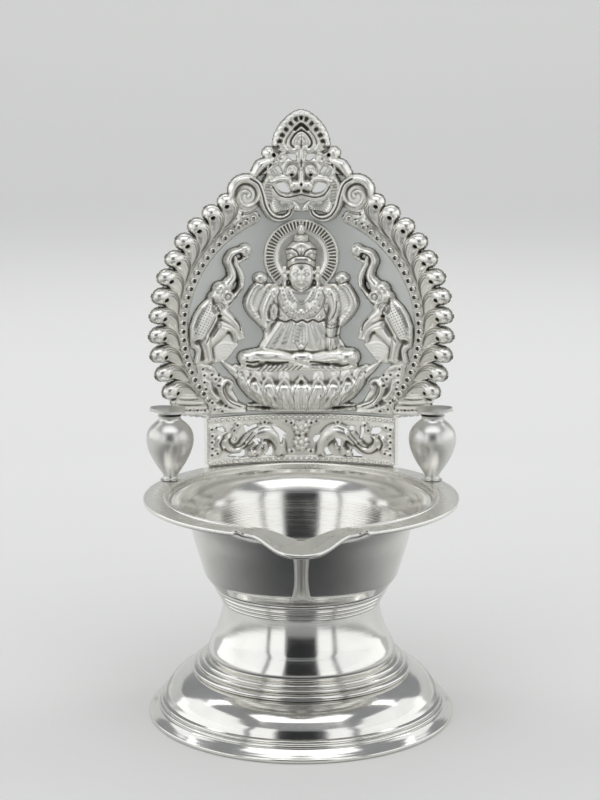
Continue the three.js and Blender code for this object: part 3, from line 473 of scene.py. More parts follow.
def reach_inside(outline, x, z):
    """Signed distance from a closed outline, in millimetres, above zero inside."""
    corners = np.array(outline, float)
    nearest, odd = np.full(x.shape, 1e9), np.zeros(x.shape, bool)
    for (ax, az), (bx, bz) in zip(corners, np.roll(corners, -1, 0)):
        ex, ez = bx - ax, bz - az
        t = np.clip(((x - ax) * ex + (z - az) * ez) / max(ex * ex + ez * ez, 1e-9), 0, 1)
        nearest = np.minimum(nearest, np.hypot(x - ax - t * ex, z - az - t * ez))
        if az != bz:
            odd ^= ((az > z) != (bz > z)) & (x < ex * (z - az) / ez + ax)
    return np.where(odd, nearest, -nearest)


def rounded(share):
    """A quarter round's height, from 0 at its edge to 1 at its crown and past it."""
    return np.sqrt(np.clip(1 - np.clip(1 - share, 0, 1) ** 2, 0, None))


class Relief:
    """Heights in millimetres proud of the sheet, on a grid of the flat plate: x across, z up. A form
    goes to the side that is being worked, 1 right or -1 left. Whitening and shade say how dark the
    silver is painted at a spot, for its whitening and for painted shade in grooves and pits: 1 is
    grey and 2 is black."""

    def __init__(self, x0, x1, z0, z1, grain=0.16, floor=-1.0, side=1):
        self.grain, self.side = grain, side
        x0, x1 = sorted((side * x0, side * x1))
        self.x, self.z = np.meshgrid(np.arange(x0, x1 + grain, grain), np.arange(z0, z1 + grain, grain))
        self.h = np.full(self.x.shape, float(floor))
        self.edge = np.full(self.x.shape, 9.0)
        self.whitening_and_shade = np.zeros(self.x.shape)

    def sides(self):
        """Turns to the left side and then to the right."""
        for self.side in (-1, 1):
            yield self.side

    def placed(self, points):
        """Points on the side that is being worked."""
        return np.array(points, float) * (self.side, 1)

    def near(self, x0, x1, z0, z1):
        """The part of the grid that holds a box, as slices."""
        return tuple(
            slice(max(int((a - start) / self.grain) - 1, 0), max(int((b - start) / self.grain) + 2, 0))
            for a, b, start in ((z0, z1, self.z[0, 0]), (x0, x1, self.x[0, 0]))
        )

    def lay(self, part, inside, laid):
        """Raises a part of the grid to the laid form."""
        self.h[part] = np.where(inside, np.maximum(self.h[part], laid), self.h[part])

    def darken(self, part, tone):
        """Darkens a part of the grid: painted shade, or whitening."""
        self.whitening_and_shade[part] = np.maximum(self.whitening_and_shade[part], tone)

    def oval(self, x, z, rx, rz, turn=0):
        """For an oval: the grid part that holds it, and how far out each point is, squared."""
        x, turn, reach = self.side * x, math.radians(self.side * turn), max(rx, rz)
        part = self.near(x - reach, x + reach, z - reach, z + reach)
        c, s, dx, dz = math.cos(turn), math.sin(turn), self.x[part] - x, self.z[part] - z
        return part, ((dx * c + dz * s) / rx) ** 2 + ((dz * c - dx * s) / rz) ** 2

    def dome(self, x, z, rx, rz, top, turn=0, low=0.0):
        """Lays a rounded boss from a level up to its top."""
        part, d = self.oval(x, z, rx, rz, turn)
        self.lay(part, d < 1, low + (top - low) * np.sqrt(np.clip(1 - d, 0, None)))

    def swell(self, x, z, rx, rz, amount):
        """Adds a soft bump, or a hollow darkened with painted shade where the amount is below zero."""
        part, d = self.oval(x, z, rx, rz)
        bump = np.clip(1 - d, 0, None) ** 2
        self.h[part] += amount * bump
        self.darken(part, np.clip(-amount - 0.35, 0, 1.2) * 1.6 * np.sqrt(bump))

    def beside(self, points, radius, bend=True):
        """For a line: the grid part near it, the distance in radii, and the share along it."""
        line = self.placed(points)
        line = smooth_line(line, 5) if bend and len(line) > 2 else line
        r = np.interp(np.linspace(0, 1, len(line)), np.linspace(0, 1, np.size(radius)), np.atleast_1d(radius))
        (x0, z0), (x1, z1) = line.min(0) - r.max(), line.max(0) + r.max()
        part = self.near(x0, x1, z0, z1)
        x, z = self.x[part], self.z[part]
        best, where = np.full(x.shape, 9.0), np.zeros(x.shape)
        for i in range(len(line) - 1):
            (ax, az), (bx, bz) = line[i], line[i + 1]
            ex, ez = bx - ax, bz - az
            t = np.clip(((x - ax) * ex + (z - az) * ez) / max(ex * ex + ez * ez, 1e-9), 0, 1)
            d = np.hypot(x - ax - t * ex, z - az - t * ez) / (r[i] + (r[i + 1] - r[i]) * t)
            where = np.where(d < best, (i + t) / (len(line) - 1), where)
            best = np.minimum(best, d)
        return part, best, where

    def ridge(self, points, radius, top, low=0.0, bend=True):
        """Lays a rounded ridge along a line; its radius and its top may change along it."""
        part, d, t = self.beside(points, radius, bend)
        crest = np.interp(t, np.linspace(0, 1, np.size(top)), np.atleast_1d(top))
        self.lay(part, d < 1, low + (crest - low) * np.sqrt(np.clip(1 - d * d, 0, None)))

    def line(self, points, radius, amount, bend=True):
        """Adds a soft ridge along a line, or cuts a groove darkened with painted shade where the amount is
        below zero.
        """
        part, d, _ = self.beside(points, radius, bend)
        bump = np.clip(1 - d * d, 0, None)
        self.h[part] += amount * bump**2
        self.darken(part, np.clip(-2.6 * amount - 0.25, 0, 1.3) * bump)

    def cushion(self, outline, top, slope=0.6, low=0.0):
        """Lays an outline raised to a height, with rounded shoulders."""
        corners = self.placed(outline)
        (x0, z0), (x1, z1) = corners.min(0), corners.max(0)
        part = self.near(x0, x1, z0, z1)
        d = reach_inside(corners, self.x[part], self.z[part])
        self.lay(part, d > 0, low + (top - low) * rounded(d / slope))

    def scales(self, outline, lean, pitch, amount, dark):
        """Covers an outline with small raised scales, set like tiles."""
        a = math.radians(self.side * lean)
        along = (self.x * math.cos(a) + self.z * math.sin(a)) / pitch
        over = (self.z * math.cos(a) - self.x * math.sin(a)) / pitch
        tile = np.cos(math.pi * (along + over)) * np.cos(math.pi * (along - over))
        inside = np.clip(reach_inside(self.placed(outline), self.x, self.z) / 0.4, 0, 1)
        self.h += amount * tile * inside
        # The gaps between the scales are darkened: painted shade.
        self.darken(..., inside * np.clip(-1.6 * tile - 0.1, 0, 1) * dark)

    def eyelet(self, x, z, rx, rz, depth):
        """Sinks a small pit, whose floor is painted black as shade."""
        x = self.side * x
        part = self.near(x - rx, x + rx, z - rz, z + rz)
        d = np.hypot((self.x[part] - x) / rx, (self.z[part] - z) / rz)
        self.h[part] -= depth * np.clip(1.3 - 1.3 * d, 0, 1)
        self.darken(part, 2.2 * np.clip(2.4 - 2.4 * d, 0, 1))

    def trim(self, outline):
        """Cuts the piece to an outline."""
        self.edge = np.minimum(self.edge, reach_inside(outline, self.x, self.z))

    def pierce(self, outline):
        """Cuts a hole through the piece."""
        self.edge = np.minimum(self.edge, -reach_inside(self.placed(outline), self.x, self.z))

    def mesh(self, name, material, base=-0.25, soften=1, round_edge=0.3, bend=on_plate, back_h=None):
        """The piece as a closed mesh. Its free edges are rounded, and its hollows and its whitening and shade
        go into a value at each point, named hollow, which darkens the silver: painted shade in its recesses
        and creases, over the whitening."""
        h = np.clip(np.where(self.h > 0, STRUCK_SHARE * self.h, self.h), DEEPEST, None)
        if soften:
            h = blurred(h, soften)
        lowest = np.minimum(h, base + 0.35)
        h = lowest + (h - lowest) * rounded(self.edge / round_edge)
        mid = np.clip(h, 0, None)
        # How far each point lies below its neighbours, finely and broadly: this becomes painted shade in the
        # recesses and creases.
        fine = blurred(mid, max(int(FINE_CREASE / self.grain), 1)) - mid
        broad = blurred(mid, max(int(BROAD_CREASE / self.grain), 1)) - mid
        hollow = np.clip(fine / 0.16, -0.5, 1) * 0.6 + np.clip(broad / 0.5, -0.5, 1) * 0.4
        hollow = np.maximum(hollow, self.whitening_and_shade)
        keep = (h > KEPT_FROM) & (self.edge > -0.6 * self.grain)
        cells = keep[:-1, :-1] & keep[1:, :-1] & keep[:-1, 1:] & keep[1:, 1:]
        rows, columns = cells.shape
        used = np.zeros(keep.shape, bool)
        for dz in (0, 1):
            for dx in (0, 1):
                used[dz : dz + rows, dx : dx + columns] |= cells
        gz, gx = np.gradient(self.edge, self.grain)
        steep = np.maximum(gx * gx + gz * gz, 1e-6)
        snap = np.where(np.abs(self.edge) < 0.75 * self.grain, self.edge / steep, 0)
        x, z = (self.x - snap * gx)[used], (self.z - snap * gz)[used]
        rear = np.full(h.shape, base) if back_h is None else back_h
        points = np.concatenate([bend(x, z, h[used]), bend(x, z, rear[used])])
        n = len(x)
        number = np.cumsum(used).reshape(used.shape) - 1
        r, c = np.nonzero(cells)
        quad = np.stack([number[r, c], number[r, c + 1], number[r + 1, c + 1], number[r + 1, c]], -1)
        faces = [quad, quad[:, ::-1] + n]
        framed = np.pad(cells, 1)
        for dr, dc, a, b in (
            (-1, 0, (0, 0), (0, 1)), (1, 0, (1, 1), (1, 0)), (0, -1, (1, 0), (0, 0)), (0, 1, (0, 1), (1, 1)),
        ):
            r, c = np.nonzero(cells & ~framed[1 + dr : 1 + dr + rows, 1 + dc : 1 + dc + columns])
            p, q = number[r + a[0], c + a[1]], number[r + b[0], c + b[1]]
            faces.append(np.stack([q, p, p + n, q + n], -1))
        faces = np.concatenate(faces)
        made = bpy.data.meshes.new(name)
        made.vertices.add(2 * n)
        made.vertices.foreach_set("co", points.ravel())
        made.loops.add(faces.size)
        made.loops.foreach_set("vertex_index", faces.ravel())
        made.polygons.add(len(faces))
        made.polygons.foreach_set("loop_start", np.arange(len(faces)) * 4)
        made.update(calc_edges=True)
        dark = np.concatenate([hollow[used], np.zeros(n)]).astype(np.float32)
        made.attributes.new("hollow", "FLOAT", "POINT").data.foreach_set("value", dark)
        made.materials.append(material)
        return made


def struck_silver(name, bright, recess, gloss, dull, grain_mm, grain_depth):
    """Silver struck in a die and whitened: the high points are burnished bright by handling, and the
    recesses keep a pale, matt skin. The value named hollow darkens the recesses towards the recess
    colour and the narrow creases to black: painted shade over the whitening."""
    material, tree = blank_material(name)
    place = add_node(tree, "ShaderNodeTexCoord").outputs["Object"]
    mark = add_node(tree, "ShaderNodeAttribute", attribute_name="hollow",
        attribute_type="GEOMETRY").outputs["Fac"]
    cloud_noise = {"Vector": place, "Scale": 420.0, "Detail": 3.0, "Roughness": 0.6}
    cloud = add_node(tree, "ShaderNodeTexNoise", cloud_noise)
    uneven = calc(tree, "MULTIPLY_ADD", cloud, 0.35, mark)
    sunk = {"Value": uneven, "From Min": 0.25, "From Max": 1.05}
    # Towards the recess colour where the value is high: whitening with painted shade.
    deep = add_node(tree, "ShaderNodeMapRange", sunk, interpolation_type="SMOOTHSTEP")
    tones = {"Factor": deep, 6: linear(bright), 7: linear(recess)}
    tint = add_node(tree, "ShaderNodeMix", tones, data_type="RGBA").outputs[2]
    # Towards black where the value passes 1: painted shade in creases and pits.
    black = add_node(tree, "ShaderNodeMapRange", {"Value": uneven, "From Min": 1.0, "From Max": 2.0})
    tones = {"Factor": black, 6: tint, 7: linear("#2B2A28")}
    shade = add_node(tree, "ShaderNodeMix", tones, data_type="RGBA").outputs[2]
    dulled = {"Value": uneven, "From Min": -0.1, "From Max": 0.7, "To Min": gloss, "To Max": dull}
    rough = add_node(tree, "ShaderNodeMapRange", dulled)
    grit_noise = {"Vector": place, "Scale": 1 / (grain_mm * MM), "Detail": 2.0}
    grit = add_node(tree, "ShaderNodeTexNoise", grit_noise)
    bump = add_node(tree, "ShaderNodeBump", {"Height": grit, "Strength": 0.6, "Distance": grain_depth * MM})
    close_material(tree, {"Base Color": shade, "Metallic": 1.0, "Roughness": rough, "Normal": bump})
    return material


# The recess colours here are whitening darkened with painted shade.
satin_sheet = struck_silver("silver sheet, satin", "#D2D4D2", "#A9AAA7", 0.4, 0.55, 0.18, 0.006)
relief_silver = struck_silver("struck silver, whitened", "#F6F5F0", "#77746B", 0.2, 0.45, 0.24, 0.02)

EAR = [(26.9, 57.6), (27.5, 58.1), (27.4, 60.3), (27.9, 61.6)]
PETAL_SPOTS = [
    (16.2, 101.45), (19.2, 99.2), (22.1, 96.55), (24.6, 93.55), (26.5, 90.1), (28.0, 86.45),
    (29.0, 82.65), (29.4, 78.7), (29.5, 74.65), (29.2, 70.6), (28.3, 66.5), (26.9, 62.6),
]
CREST_HALF = [(14.2, 103.4), (14.6, 105.0), (13.7, 106.4), (12.2, 107.2), (10.2, 107.2), (9.4, 108.8),
    (8.0, 110.0), (6.7, 110.8), (7.5, 111.9), (7.4, 112.9), (6.5, 113.4), (5.6, 113.9), (5.2, 116.1),
    (4.2, 117.9), (2.7, 119.3), (1.2, 120.5), (0.3, 121.0)]
arch_side = [(x * 1.015, ARCH_Z + (z - ARCH_Z) * 1.015) for x, z in PETAL_SPOTS[::-1]]
plate_half = [(0, PLATE_FOOT), (PANEL_HALF, PLATE_FOOT), (PANEL_HALF, 56.2), *EAR, *arch_side, *CREST_HALF]
PANEL_HOLES = {
    -1: [
        [(18.4, 53.8), (17.0, 53.9), (16.3, 52.9), (17.1, 52.7)],
        [(14.6, 51.6), (14.1, 51.1), (14.3, 50.6), (14.7, 51.0)],
        [(12.6, 54.0), (12.1, 54.1), (11.5, 53.6), (10.4, 54.0), (9.6, 54.2), (9.5, 53.5),
         (10.9, 53.0), (12.0, 52.2)],
        [(6.5, 53.6), (5.2, 53.4), (4.2, 52.6), (3.4, 52.1), (3.9, 51.2), (4.3, 49.7),
         (4.7, 49.8), (4.9, 51.6), (5.6, 52.6)],
        [(10.8, 50.8), (9.8, 51.3), (8.8, 50.9), (8.8, 50.1), (9.7, 49.3), (10.2, 50.2)],
        [(8.7, 49.6), (8.2, 49.0), (8.4, 48.6), (8.8, 49.0)],
        [(8.2, 47.2), (6.6, 47.0), (6.2, 47.6), (6.3, 48.9), (6.9, 49.1), (7.3, 48.0)],
        [(16.1, 47.3), (12.3, 47.0), (12.2, 48.3), (12.7, 48.8), (13.4, 47.9), (15.0, 47.9)],
    ],
    1: [
        [(4.3, 51.7), (3.1, 51.4), (2.5, 50.6), (2.8, 49.8), (3.3, 49.8), (3.9, 50.7)],
        [(5.6, 49.0), (6.2, 48.0), (6.9, 47.2), (5.4, 47.1), (5.1, 47.9), (5.2, 48.8)],
        [(7.2, 50.9), (8.6, 51.0), (8.8, 50.3), (8.6, 49.0), (8.1, 49.2), (7.8, 50.1)],
        [(10.3, 53.0), (10.7, 53.9), (11.6, 53.7), (11.4, 52.8), (10.8, 52.6)],
        [(12.9, 53.8), (13.6, 53.7), (13.7, 53.0), (13.2, 51.0), (12.7, 51.1), (12.9, 52.4)],
        [(15.0, 52.3), (15.2, 53.6), (16.8, 53.9), (17.5, 53.5), (17.0, 52.5), (15.7, 52.1)],
        [(11.0, 48.8), (11.3, 47.0), (13.3, 47.0), (13.4, 47.5), (12.4, 47.8), (11.7, 48.6)],
    ],
}
GRIN = [(2.2, 104.3), (3.0, 104.0), (4.1, 104.2), (5.1, 104.9), (5.5, 105.7), (4.8, 106.1), (3.7, 106.2),
    (3.2, 105.9), (2.8, 105.0)]
CHEEK_SLIT = [(6.3, 110.2), (5.6, 109.2), (4.6, 108.2), (3.9, 108.0), (4.5, 109.2), (5.4, 110.2)]
BROW_GAP = [(1.0, 110.9), (1.8, 110.8), (2.6, 111.5), (3.4, 112.6), (2.5, 112.8), (1.9, 112.2), (1.2, 112.3)]


def both_halves(half):
    """An outline from its half on one side of the middle."""
    return half + [(-x, z) for x, z in half[::-1] if x]


def petal_slot(i):
    """The slot pierced between a petal and the next one down."""
    (ax, az), (bx, bz) = PETAL_SPOTS[i], PETAL_SPOTS[i + 1]
    along = np.array([bx - ax, bz - az]) / math.hypot(bx - ax, bz - az)
    out = np.array([-along[1], along[0]])
    corners = [(-1.2, 0.3), (-1.3, 1.6), (-2.6, 2.1), (-4.3, 2.4), (-4.5, 1.9), (-3.4, 1.3), (-2.2, 0.6)]
    return [tuple(np.array(PETAL_SPOTS[i]) + u * out + v * along) for u, v in corners]


sheet = Relief(-32, 32, PLATE_FOOT, PLATE_TOP, SHEET_GRAIN, floor=0.0)
sheet.trim(both_halves(plate_half))
for side in sheet.sides():
    for hole in (*PANEL_HOLES[side], GRIN, BROW_GAP, CHEEK_SLIT, *map(petal_slot, range(5))):
        sheet.pierce(hole)
struck_back = Relief(-32, 32, PLATE_FOOT, PLATE_TOP, SHEET_GRAIN, floor=0.0)
for x, z, rx, rz, depth in ((0, 81, 5, 5, 0.45), (0, 87, 2.4, 3, 0.4), (0, 92.5, 2.4, 4, 0.35),
        (-8.5, 68.7, 5.5, 2.2, 0.4), (8.5, 69, 5, 2.2, 0.4), (0, 72.5, 6, 5, 0.25), (0, 62.5, 13, 4, 0.35),
        (0, 108, 3.5, 3.5, 0.4), (0, 115.5, 3, 3, 0.4)):
    struck_back.dome(x, z, rx, rz, depth)
for side in struck_back.sides():
    for x, z, rx, rz, depth in ((21, 78, 3, 5.5, 0.4), (17, 83, 2.5, 2.5, 0.35), (9, 86.3, 1.4, 1.3, 0.3),
            (12.2, 91.8, 1.6, 1.5, 0.3), (11.8, 103.6, 3.4, 3.4, 0.3)):
        struck_back.dome(x, z, rx, rz, depth)
    for x, z in PETAL_SPOTS:
        struck_back.dome(x * 0.99, z, 1.5, 1.5, 0.4)
        out = np.array([x, z - ARCH_Z]) / math.hypot(x, z - ARCH_Z)
        struck_back.ridge([(x - out[0] * k, z - out[1] * k) for k in (1.2, 4.2)], 0.9, 0.25)
    struck_back.ridge([(24.7 * math.cos(a), ARCH_Z + 24.7 * math.sin(a))
        for a in np.radians(range(-32, 66, 7))], 0.7, 0.3)
    struck_back.ridge([(5, 50), (8, 52), (11, 50), (14, 49.5), (16.5, 51.5)], 1.4, 0.3)
hollows = blurred(struck_back.h, 2) * np.clip(sheet.edge / 0.8, 0, 1)
sheet_mesh = sheet.mesh("back_sheet_silver", satin_sheet, base=-SHEET_T, soften=0, round_edge=0.15,
    back_h=-SHEET_T + hollows)
finished("back_sheet_silver", sheet_mesh, "back_sheet", crease=55)

# The folded edges are narrow strips of the same sheet, bent back behind the panel's sides and
# under the ears, which stiffen the plate where it meets the vases.
FOLD_DEEP = 1.5
FOLD_THICK = 0.5
FOLD_SECTION = [(0.05, 0.0), (-FOLD_DEEP, 0.0), (-FOLD_DEEP - 0.2, 0.22), (-FOLD_DEEP, FOLD_THICK),
    (0.05, FOLD_THICK)]
FOLD_LINE = [(PANEL_HALF + 0.05, PLATE_FOOT + 0.1), (PANEL_HALF + 0.05, 55.2), (20.6, 56.4), (21.6, 57.0),
    (24.4, 57.3), (27.2, 57.7)]
path = smooth_line(FOLD_LINE, 6)
fold_faces = loop_faces(len(path), len(FOLD_SECTION))
end = len(FOLD_SECTION) * (len(path) - 1)
fold_faces += [tuple(range(4, -1, -1)), tuple(range(end, end + 5))]
BOTH_SIDES = (("left", -1), ("right", 1))
for word, side in BOTH_SIDES:
    points = []
    for i, spot in enumerate(path):
        a, b = path[max(i - 1, 0)], path[min(i + 1, len(path) - 1)]
        along = (b - a) / np.linalg.norm(b - a)
        normal = np.array([-along[1], along[0]])
        for h, off in FOLD_SECTION:
            x, z = spot + normal * off
            points.append(tuple(on_plate(side * x, z, np.float64(h))))
    fold_mesh = plain_mesh("folded_edge_silver_" + word, points, fold_faces, relief_silver)
    finished("folded_edge_silver_" + word, fold_mesh, "folded_edge_" + word)

# The goddess is the boldest part of the strike: seated cross-legged with four arms, a tall crown,
# garlands and a pleated skirt. Her high points are burnished, her folds stay whitened, and her
# deep folds and grooves are darkened with painted shade.
STRUCK_CREASE = 75


def struck(name, node, relief, **shape):
    """Finishes a struck piece from its relief."""
    finished(name, relief.mesh(name, relief_silver, **shape), node, crease=STRUCK_CREASE)


goddess = Relief(-14.6, 14.6, 65.2, 98.8, 0.15)
figure_ground = [(-13.4, 69.4), (-9.8, 70.6), (-8.2, 73.2), (-8.6, 76.0), (-12.4, 79.6), (-12.6, 81.8),
    (-10.6, 84.6), (-7.8, 84.9), (-5.6, 85.0), (-4.3, 86.6), (-4.2, 88.6), (4.2, 88.6), (4.3, 86.6),
    (5.6, 85.0), (7.6, 84.9), (10.4, 84.6), (12.4, 81.8), (12.2, 79.6), (8.8, 76.0), (8.4, 73.2),
    (10.2, 70.6), (12.6, 69.4)]
goddess.cushion(figure_ground, 0.7, 0.6)
for s in goddess.sides():
    goddess.cushion([(3.4, 84.8), (7.6, 84.2), (8.9, 80.0), (8.0, 75.6), (8.4, 72.4), (10.2, 70.2),
        (3.4, 70.2)], 1.2, 1.4)
    goddess.cushion([(7.0, 84.6), (10.4, 84.5), (12.4, 81.7), (12.0, 79.8), (10.6, 78.0), (8.6, 75.8),
        (6.6, 77.6)], 1.3, 1.2)
    goddess.ridge([(8.6, 76.2), (10.4, 78.6), (11.3, 80.8), (10.2, 83.4), (8.9, 84.9)],
        [0.9, 1.2, 1.3, 1.1, 0.8], [1.6, 1.8, 1.9, 1.9, 1.9])
    for k in range(9):
        goddess.line([(12.2 - 0.28 * k, 79.6 + 0.56 * k), (10.2 - 0.2 * k, 79.4 + 0.6 * k),
            (8.0 - 0.1 * k, 77.4 + 0.75 * k)], 0.2, -0.2)
    for k in range(3):
        goddess.line([(11.2 - 0.6 * k, 78.6 - 0.7 * k), (9.6 - 0.4 * k, 78.8 - 0.6 * k)], 0.2, -0.24)
    goddess.dome(9.0, 84.4, 1.0, 0.9, 2.0)
    goddess.dome(8.8, 85.9, 1.75, 1.4, 2.3)
    goddess.line([(7.5, 85.3), (8.8, 84.9), (10.1, 85.3)], 0.24, -0.4)
    for k in (-1, 0, 1):
        goddess.line([(8.8 + 0.5 * s * k, 85.3), (8.8 + 0.3 * s * k, 86.2)], 0.2, -0.24)
goddess.cushion([(-4.4, 80), (4.4, 80), (5.6, 77.0), (7.8, 73.5), (9.8, 69.4), (-9.8, 69.4), (-7.8, 73.5),
    (-5.8, 77.0)], 1.75, 2.2)
for k in range(-7, 8):
    goddess.line([(0.6 * k, 76.4), (0.9 * k, 73.6), (1.2 * k, 70.8)], 0.32, 0.14 if k % 2 else -0.1)
for k in range(5):
    goddess.line([(-7.0 + 0.7 * k, 71.0 + 1.0 * k), (-3.6, 72.4 + 0.9 * k), (-1.0, 72.7 + 0.9 * k)], 0.2,
        -0.15)
    goddess.line([(3.0 + 0.5 * k, 70.6), (4.4 + 0.3 * k, 73.0 + 0.4 * k), (2.6 + 0.4 * k, 76.0)], 0.2, -0.13)
for k in range(8):
    goddess.swell(-0.08 * k, 76.2 - 0.8 * k, 0.75, 0.42, 0.32)
    for off in (-1.15, 1.15):
        goddess.swell(off - 0.08 * k, 76.3 - 0.8 * k, 0.36, 0.36, 0.28)
goddess.dome(0, 71.0, 1.1, 0.9, 2.3)
goddess.line([(-1.4, 71.9), (0, 70.0), (1.4, 71.9)], 0.24, -0.3)
goddess.ridge([(-12.2, 68.9), (-8.5, 69.2), (-4.5, 68.8), (-1.0, 68.0), (1.6, 67.2)],
    [1.7, 1.9, 1.7, 1.3, 1.0], [2.7, 3.0, 2.8, 2.4, 2.1])
goddess.ridge([(10.8, 69.0), (8.0, 69.2), (5.0, 68.8), (2.0, 68.3)], [2.1, 1.9, 1.6, 1.3],
    [3.0, 3.0, 2.8, 2.4])
goddess.dome(0.2, 68.7, 3.4, 1.5, 2.5)
goddess.dome(-11.8, 68.8, 2.1, 1.8, 3.0)
goddess.dome(9.8, 69.0, 2.9, 2.0, 3.4)
goddess.ridge([(-12.3, 67.2), (-9, 66.6), (-4.5, 66.5), (-0.5, 66.9), (1.4, 67.4)],
    [1.1, 1.2, 1.1, 1.0, 0.8], 2.0)
goddess.ridge([(11.4, 67.3), (8.5, 66.6), (4, 66.4), (0.5, 66.4), (-3, 65.9)], [1.0, 1.1, 1.0, 0.9, 0.6], 1.7)
goddess.line([(-12.4, 68.3), (-11.0, 68.0), (-9.6, 68.1)], 0.28, -0.6)
goddess.line([(-12.0, 67.3), (-10.6, 66.95), (-8.9, 67.1)], 0.4, -0.6)
goddess.line([(-8.0, 67.9), (-5.8, 67.6), (-3.0, 67.8)], 0.3, -0.6)
goddess.line([(-10.4, 69.7), (-8.0, 68.9), (-5.8, 69.2)], 0.2, -0.25)
goddess.line([(2.0, 67.9), (4.0, 67.75), (6.2, 67.3)], 0.26, -0.6)
goddess.line([(7.4, 67.2), (8.8, 66.95), (10.6, 67.6)], 0.3, -0.5)
goddess.line([(1.6, 69.3), (3.2, 68.8), (5.4, 69.3)], 0.2, -0.22)
for k in range(9):
    goddess.line([(-8.2 + 1.05 * k, 67.3 - 0.05 * k), (-9.0 + 1.1 * k, 66.6), (-9.6 + 1.1 * k, 66.0)], 0.2,
        -0.4)
for k in range(5):
    goddess.line([(3.4 + 1.3 * k, 66.9), (4.3 + 1.3 * k, 66.0)], 0.2, -0.24)
goddess.cushion([(-3.2, 84.6), (-6.4, 83.8), (-7.4, 81.4), (-6.2, 78.6), (-4.9, 75.6), (5.1, 75.6),
    (6.2, 78.6), (7.4, 81.4), (6.4, 83.8), (3.2, 84.6)], 2.0, 2.0)
goddess.scales([(-3.0, 84.0), (-5.2, 83.4), (-5.0, 80.0), (-4.2, 77.4), (4.4, 77.4), (5.0, 80.0),
    (5.2, 83.4), (3.0, 84.0)], 45, 0.5, 0.12, 0.4)
for _ in goddess.sides():
    goddess.dome(2.5, 79.9, 2.4, 2.2, 2.6)
    goddess.dome(5.9, 82.9, 1.9, 1.6, 2.6)
    for k in range(3):
        goddess.swell(5.0 + 0.75 * k, 83.6 - 0.35 * k, 0.3, 0.3, -0.55)
    goddess.line([(4.7, 83.4), (5.3, 81.6), (5.0, 80.0), (5.4, 78.2)], 0.2, -0.4)
    for path, proud in (([(4.3, 84.2), (3.5, 81.4), (1.7, 78.9), (0, 78.1)], 0.5),
            ([(3.0, 84.2), (2.4, 82.3), (1.1, 80.8), (0, 80.3)], 0.45)):
        goddess.line(path, 0.5, proud)
        for x, z in smooth_line(path, 3):
            goddess.swell(x, z, 0.3, 0.3, -0.7)
    goddess.line([(5.0, 81.4), (4.4, 79.4), (3.0, 77.8), (1.2, 77.3)], 0.24, -0.3)
    for x, z in ((5.6, 80.6), (5.2, 79.0), (4.4, 77.8), (3.2, 78.6), (3.9, 80.0), (1.9, 77.9)):
        goddess.swell(x, z, 0.28, 0.28, -0.7)
goddess.dome(0, 78.6, 0.85, 0.9, 3.0)
goddess.swell(0, 78.6, 0.42, 0.5, -0.6)
goddess.line([(-4.9, 76.9), (-3.4, 76.5), (-2.2, 77.0), (-1.0, 76.4), (0.2, 76.9), (1.4, 76.4), (2.6, 77.0),
    (3.8, 76.5), (5.1, 76.9)], 0.26, -0.55)
for k in range(11):
    goddess.swell(-4.4 + 0.9 * k, 77.3, 0.42, 0.4, 0.35)
goddess.ridge([(-6.8, 82.0), (-8.0, 79.0), (-7.7, 76.2)], [1.4, 1.3, 1.1], 2.3)
goddess.ridge([(-7.7, 75.6), (-7.3, 76.4), (-6.4, 77.0)], [1.1, 1.0, 0.9], 2.5)
goddess.cushion([(-7.3, 77.2), (-7.4, 79.4), (-6.7, 80.9), (-5.4, 80.9), (-4.8, 79.4), (-5.0, 77.4),
    (-6.1, 76.5)], 3.0, 0.8)
goddess.line([(-7.0, 77.4), (-7.0, 79.4), (-6.4, 80.5), (-5.5, 80.5), (-5.1, 79.3), (-5.3, 77.6),
    (-6.1, 77.0), (-7.0, 77.4)], 0.2, -0.4)
for k in range(3):
    goddess.line([(-6.6 + 0.42 * k, 78.9), (-6.6 + 0.44 * k, 80.4)], 0.15, -0.3)
goddess.swell(-6.1, 78.0, 0.5, 0.5, -0.3)
goddess.ridge([(6.7, 82.2), (7.3, 79.6), (6.8, 77.2)], [1.5, 1.35, 1.2], 2.4)
goddess.line([(7.9, 81.0), (7.6, 78.8), (6.4, 76.8)], 0.22, -0.4)
goddess.ridge([(6.8, 76.6), (6.6, 75.0), (6.5, 73.4)], [1.25, 1.15, 1.0], 2.7)
for z in (76.3, 75.6, 73.6):
    goddess.line([(5.4, z), (6.7, z - 0.35), (8.1, z)], 0.18, -0.4)
goddess.dome(6.6, 71.9, 1.5, 2.1, 2.9)
for k in range(5):
    goddess.line([(5.6 + 0.5 * k, 72.6), (5.5 + 0.58 * k, 70.2)], 0.16, -0.3)
goddess.ridge([(0, 85.2), (0, 83.4)], 1.6, 2.2)
for k, z in enumerate((83.6, 82.9)):
    goddess.line([(-1.8 - 0.5 * k, z + 0.9 + 0.2 * k), (0, z), (1.8 + 0.5 * k, z + 0.9 + 0.2 * k)], 0.2, -0.3)
goddess.cushion(both_halves([(1.1, 95.5), (1.6, 94.9), (1.8, 93.9), (2.6, 93.1), (3.3, 92.4), (3.5, 91.6),
    (3.2, 90.0), (3.0, 87.8)]), 2.5, 1.7)
goddess.dome(0, 96.2, 0.95, 1.7, 2.3)
goddess.dome(0, 94.7, 1.7, 0.8, 2.9)
goddess.swell(0, 93.2, 2.3, 0.7, 0.4)
for z, half in ((93.9, 1.9), (95.5, 1.2)):
    goddess.line([(-half, z - 0.1), (0, z - 0.2), (half, z - 0.1)], 0.24, -0.4)
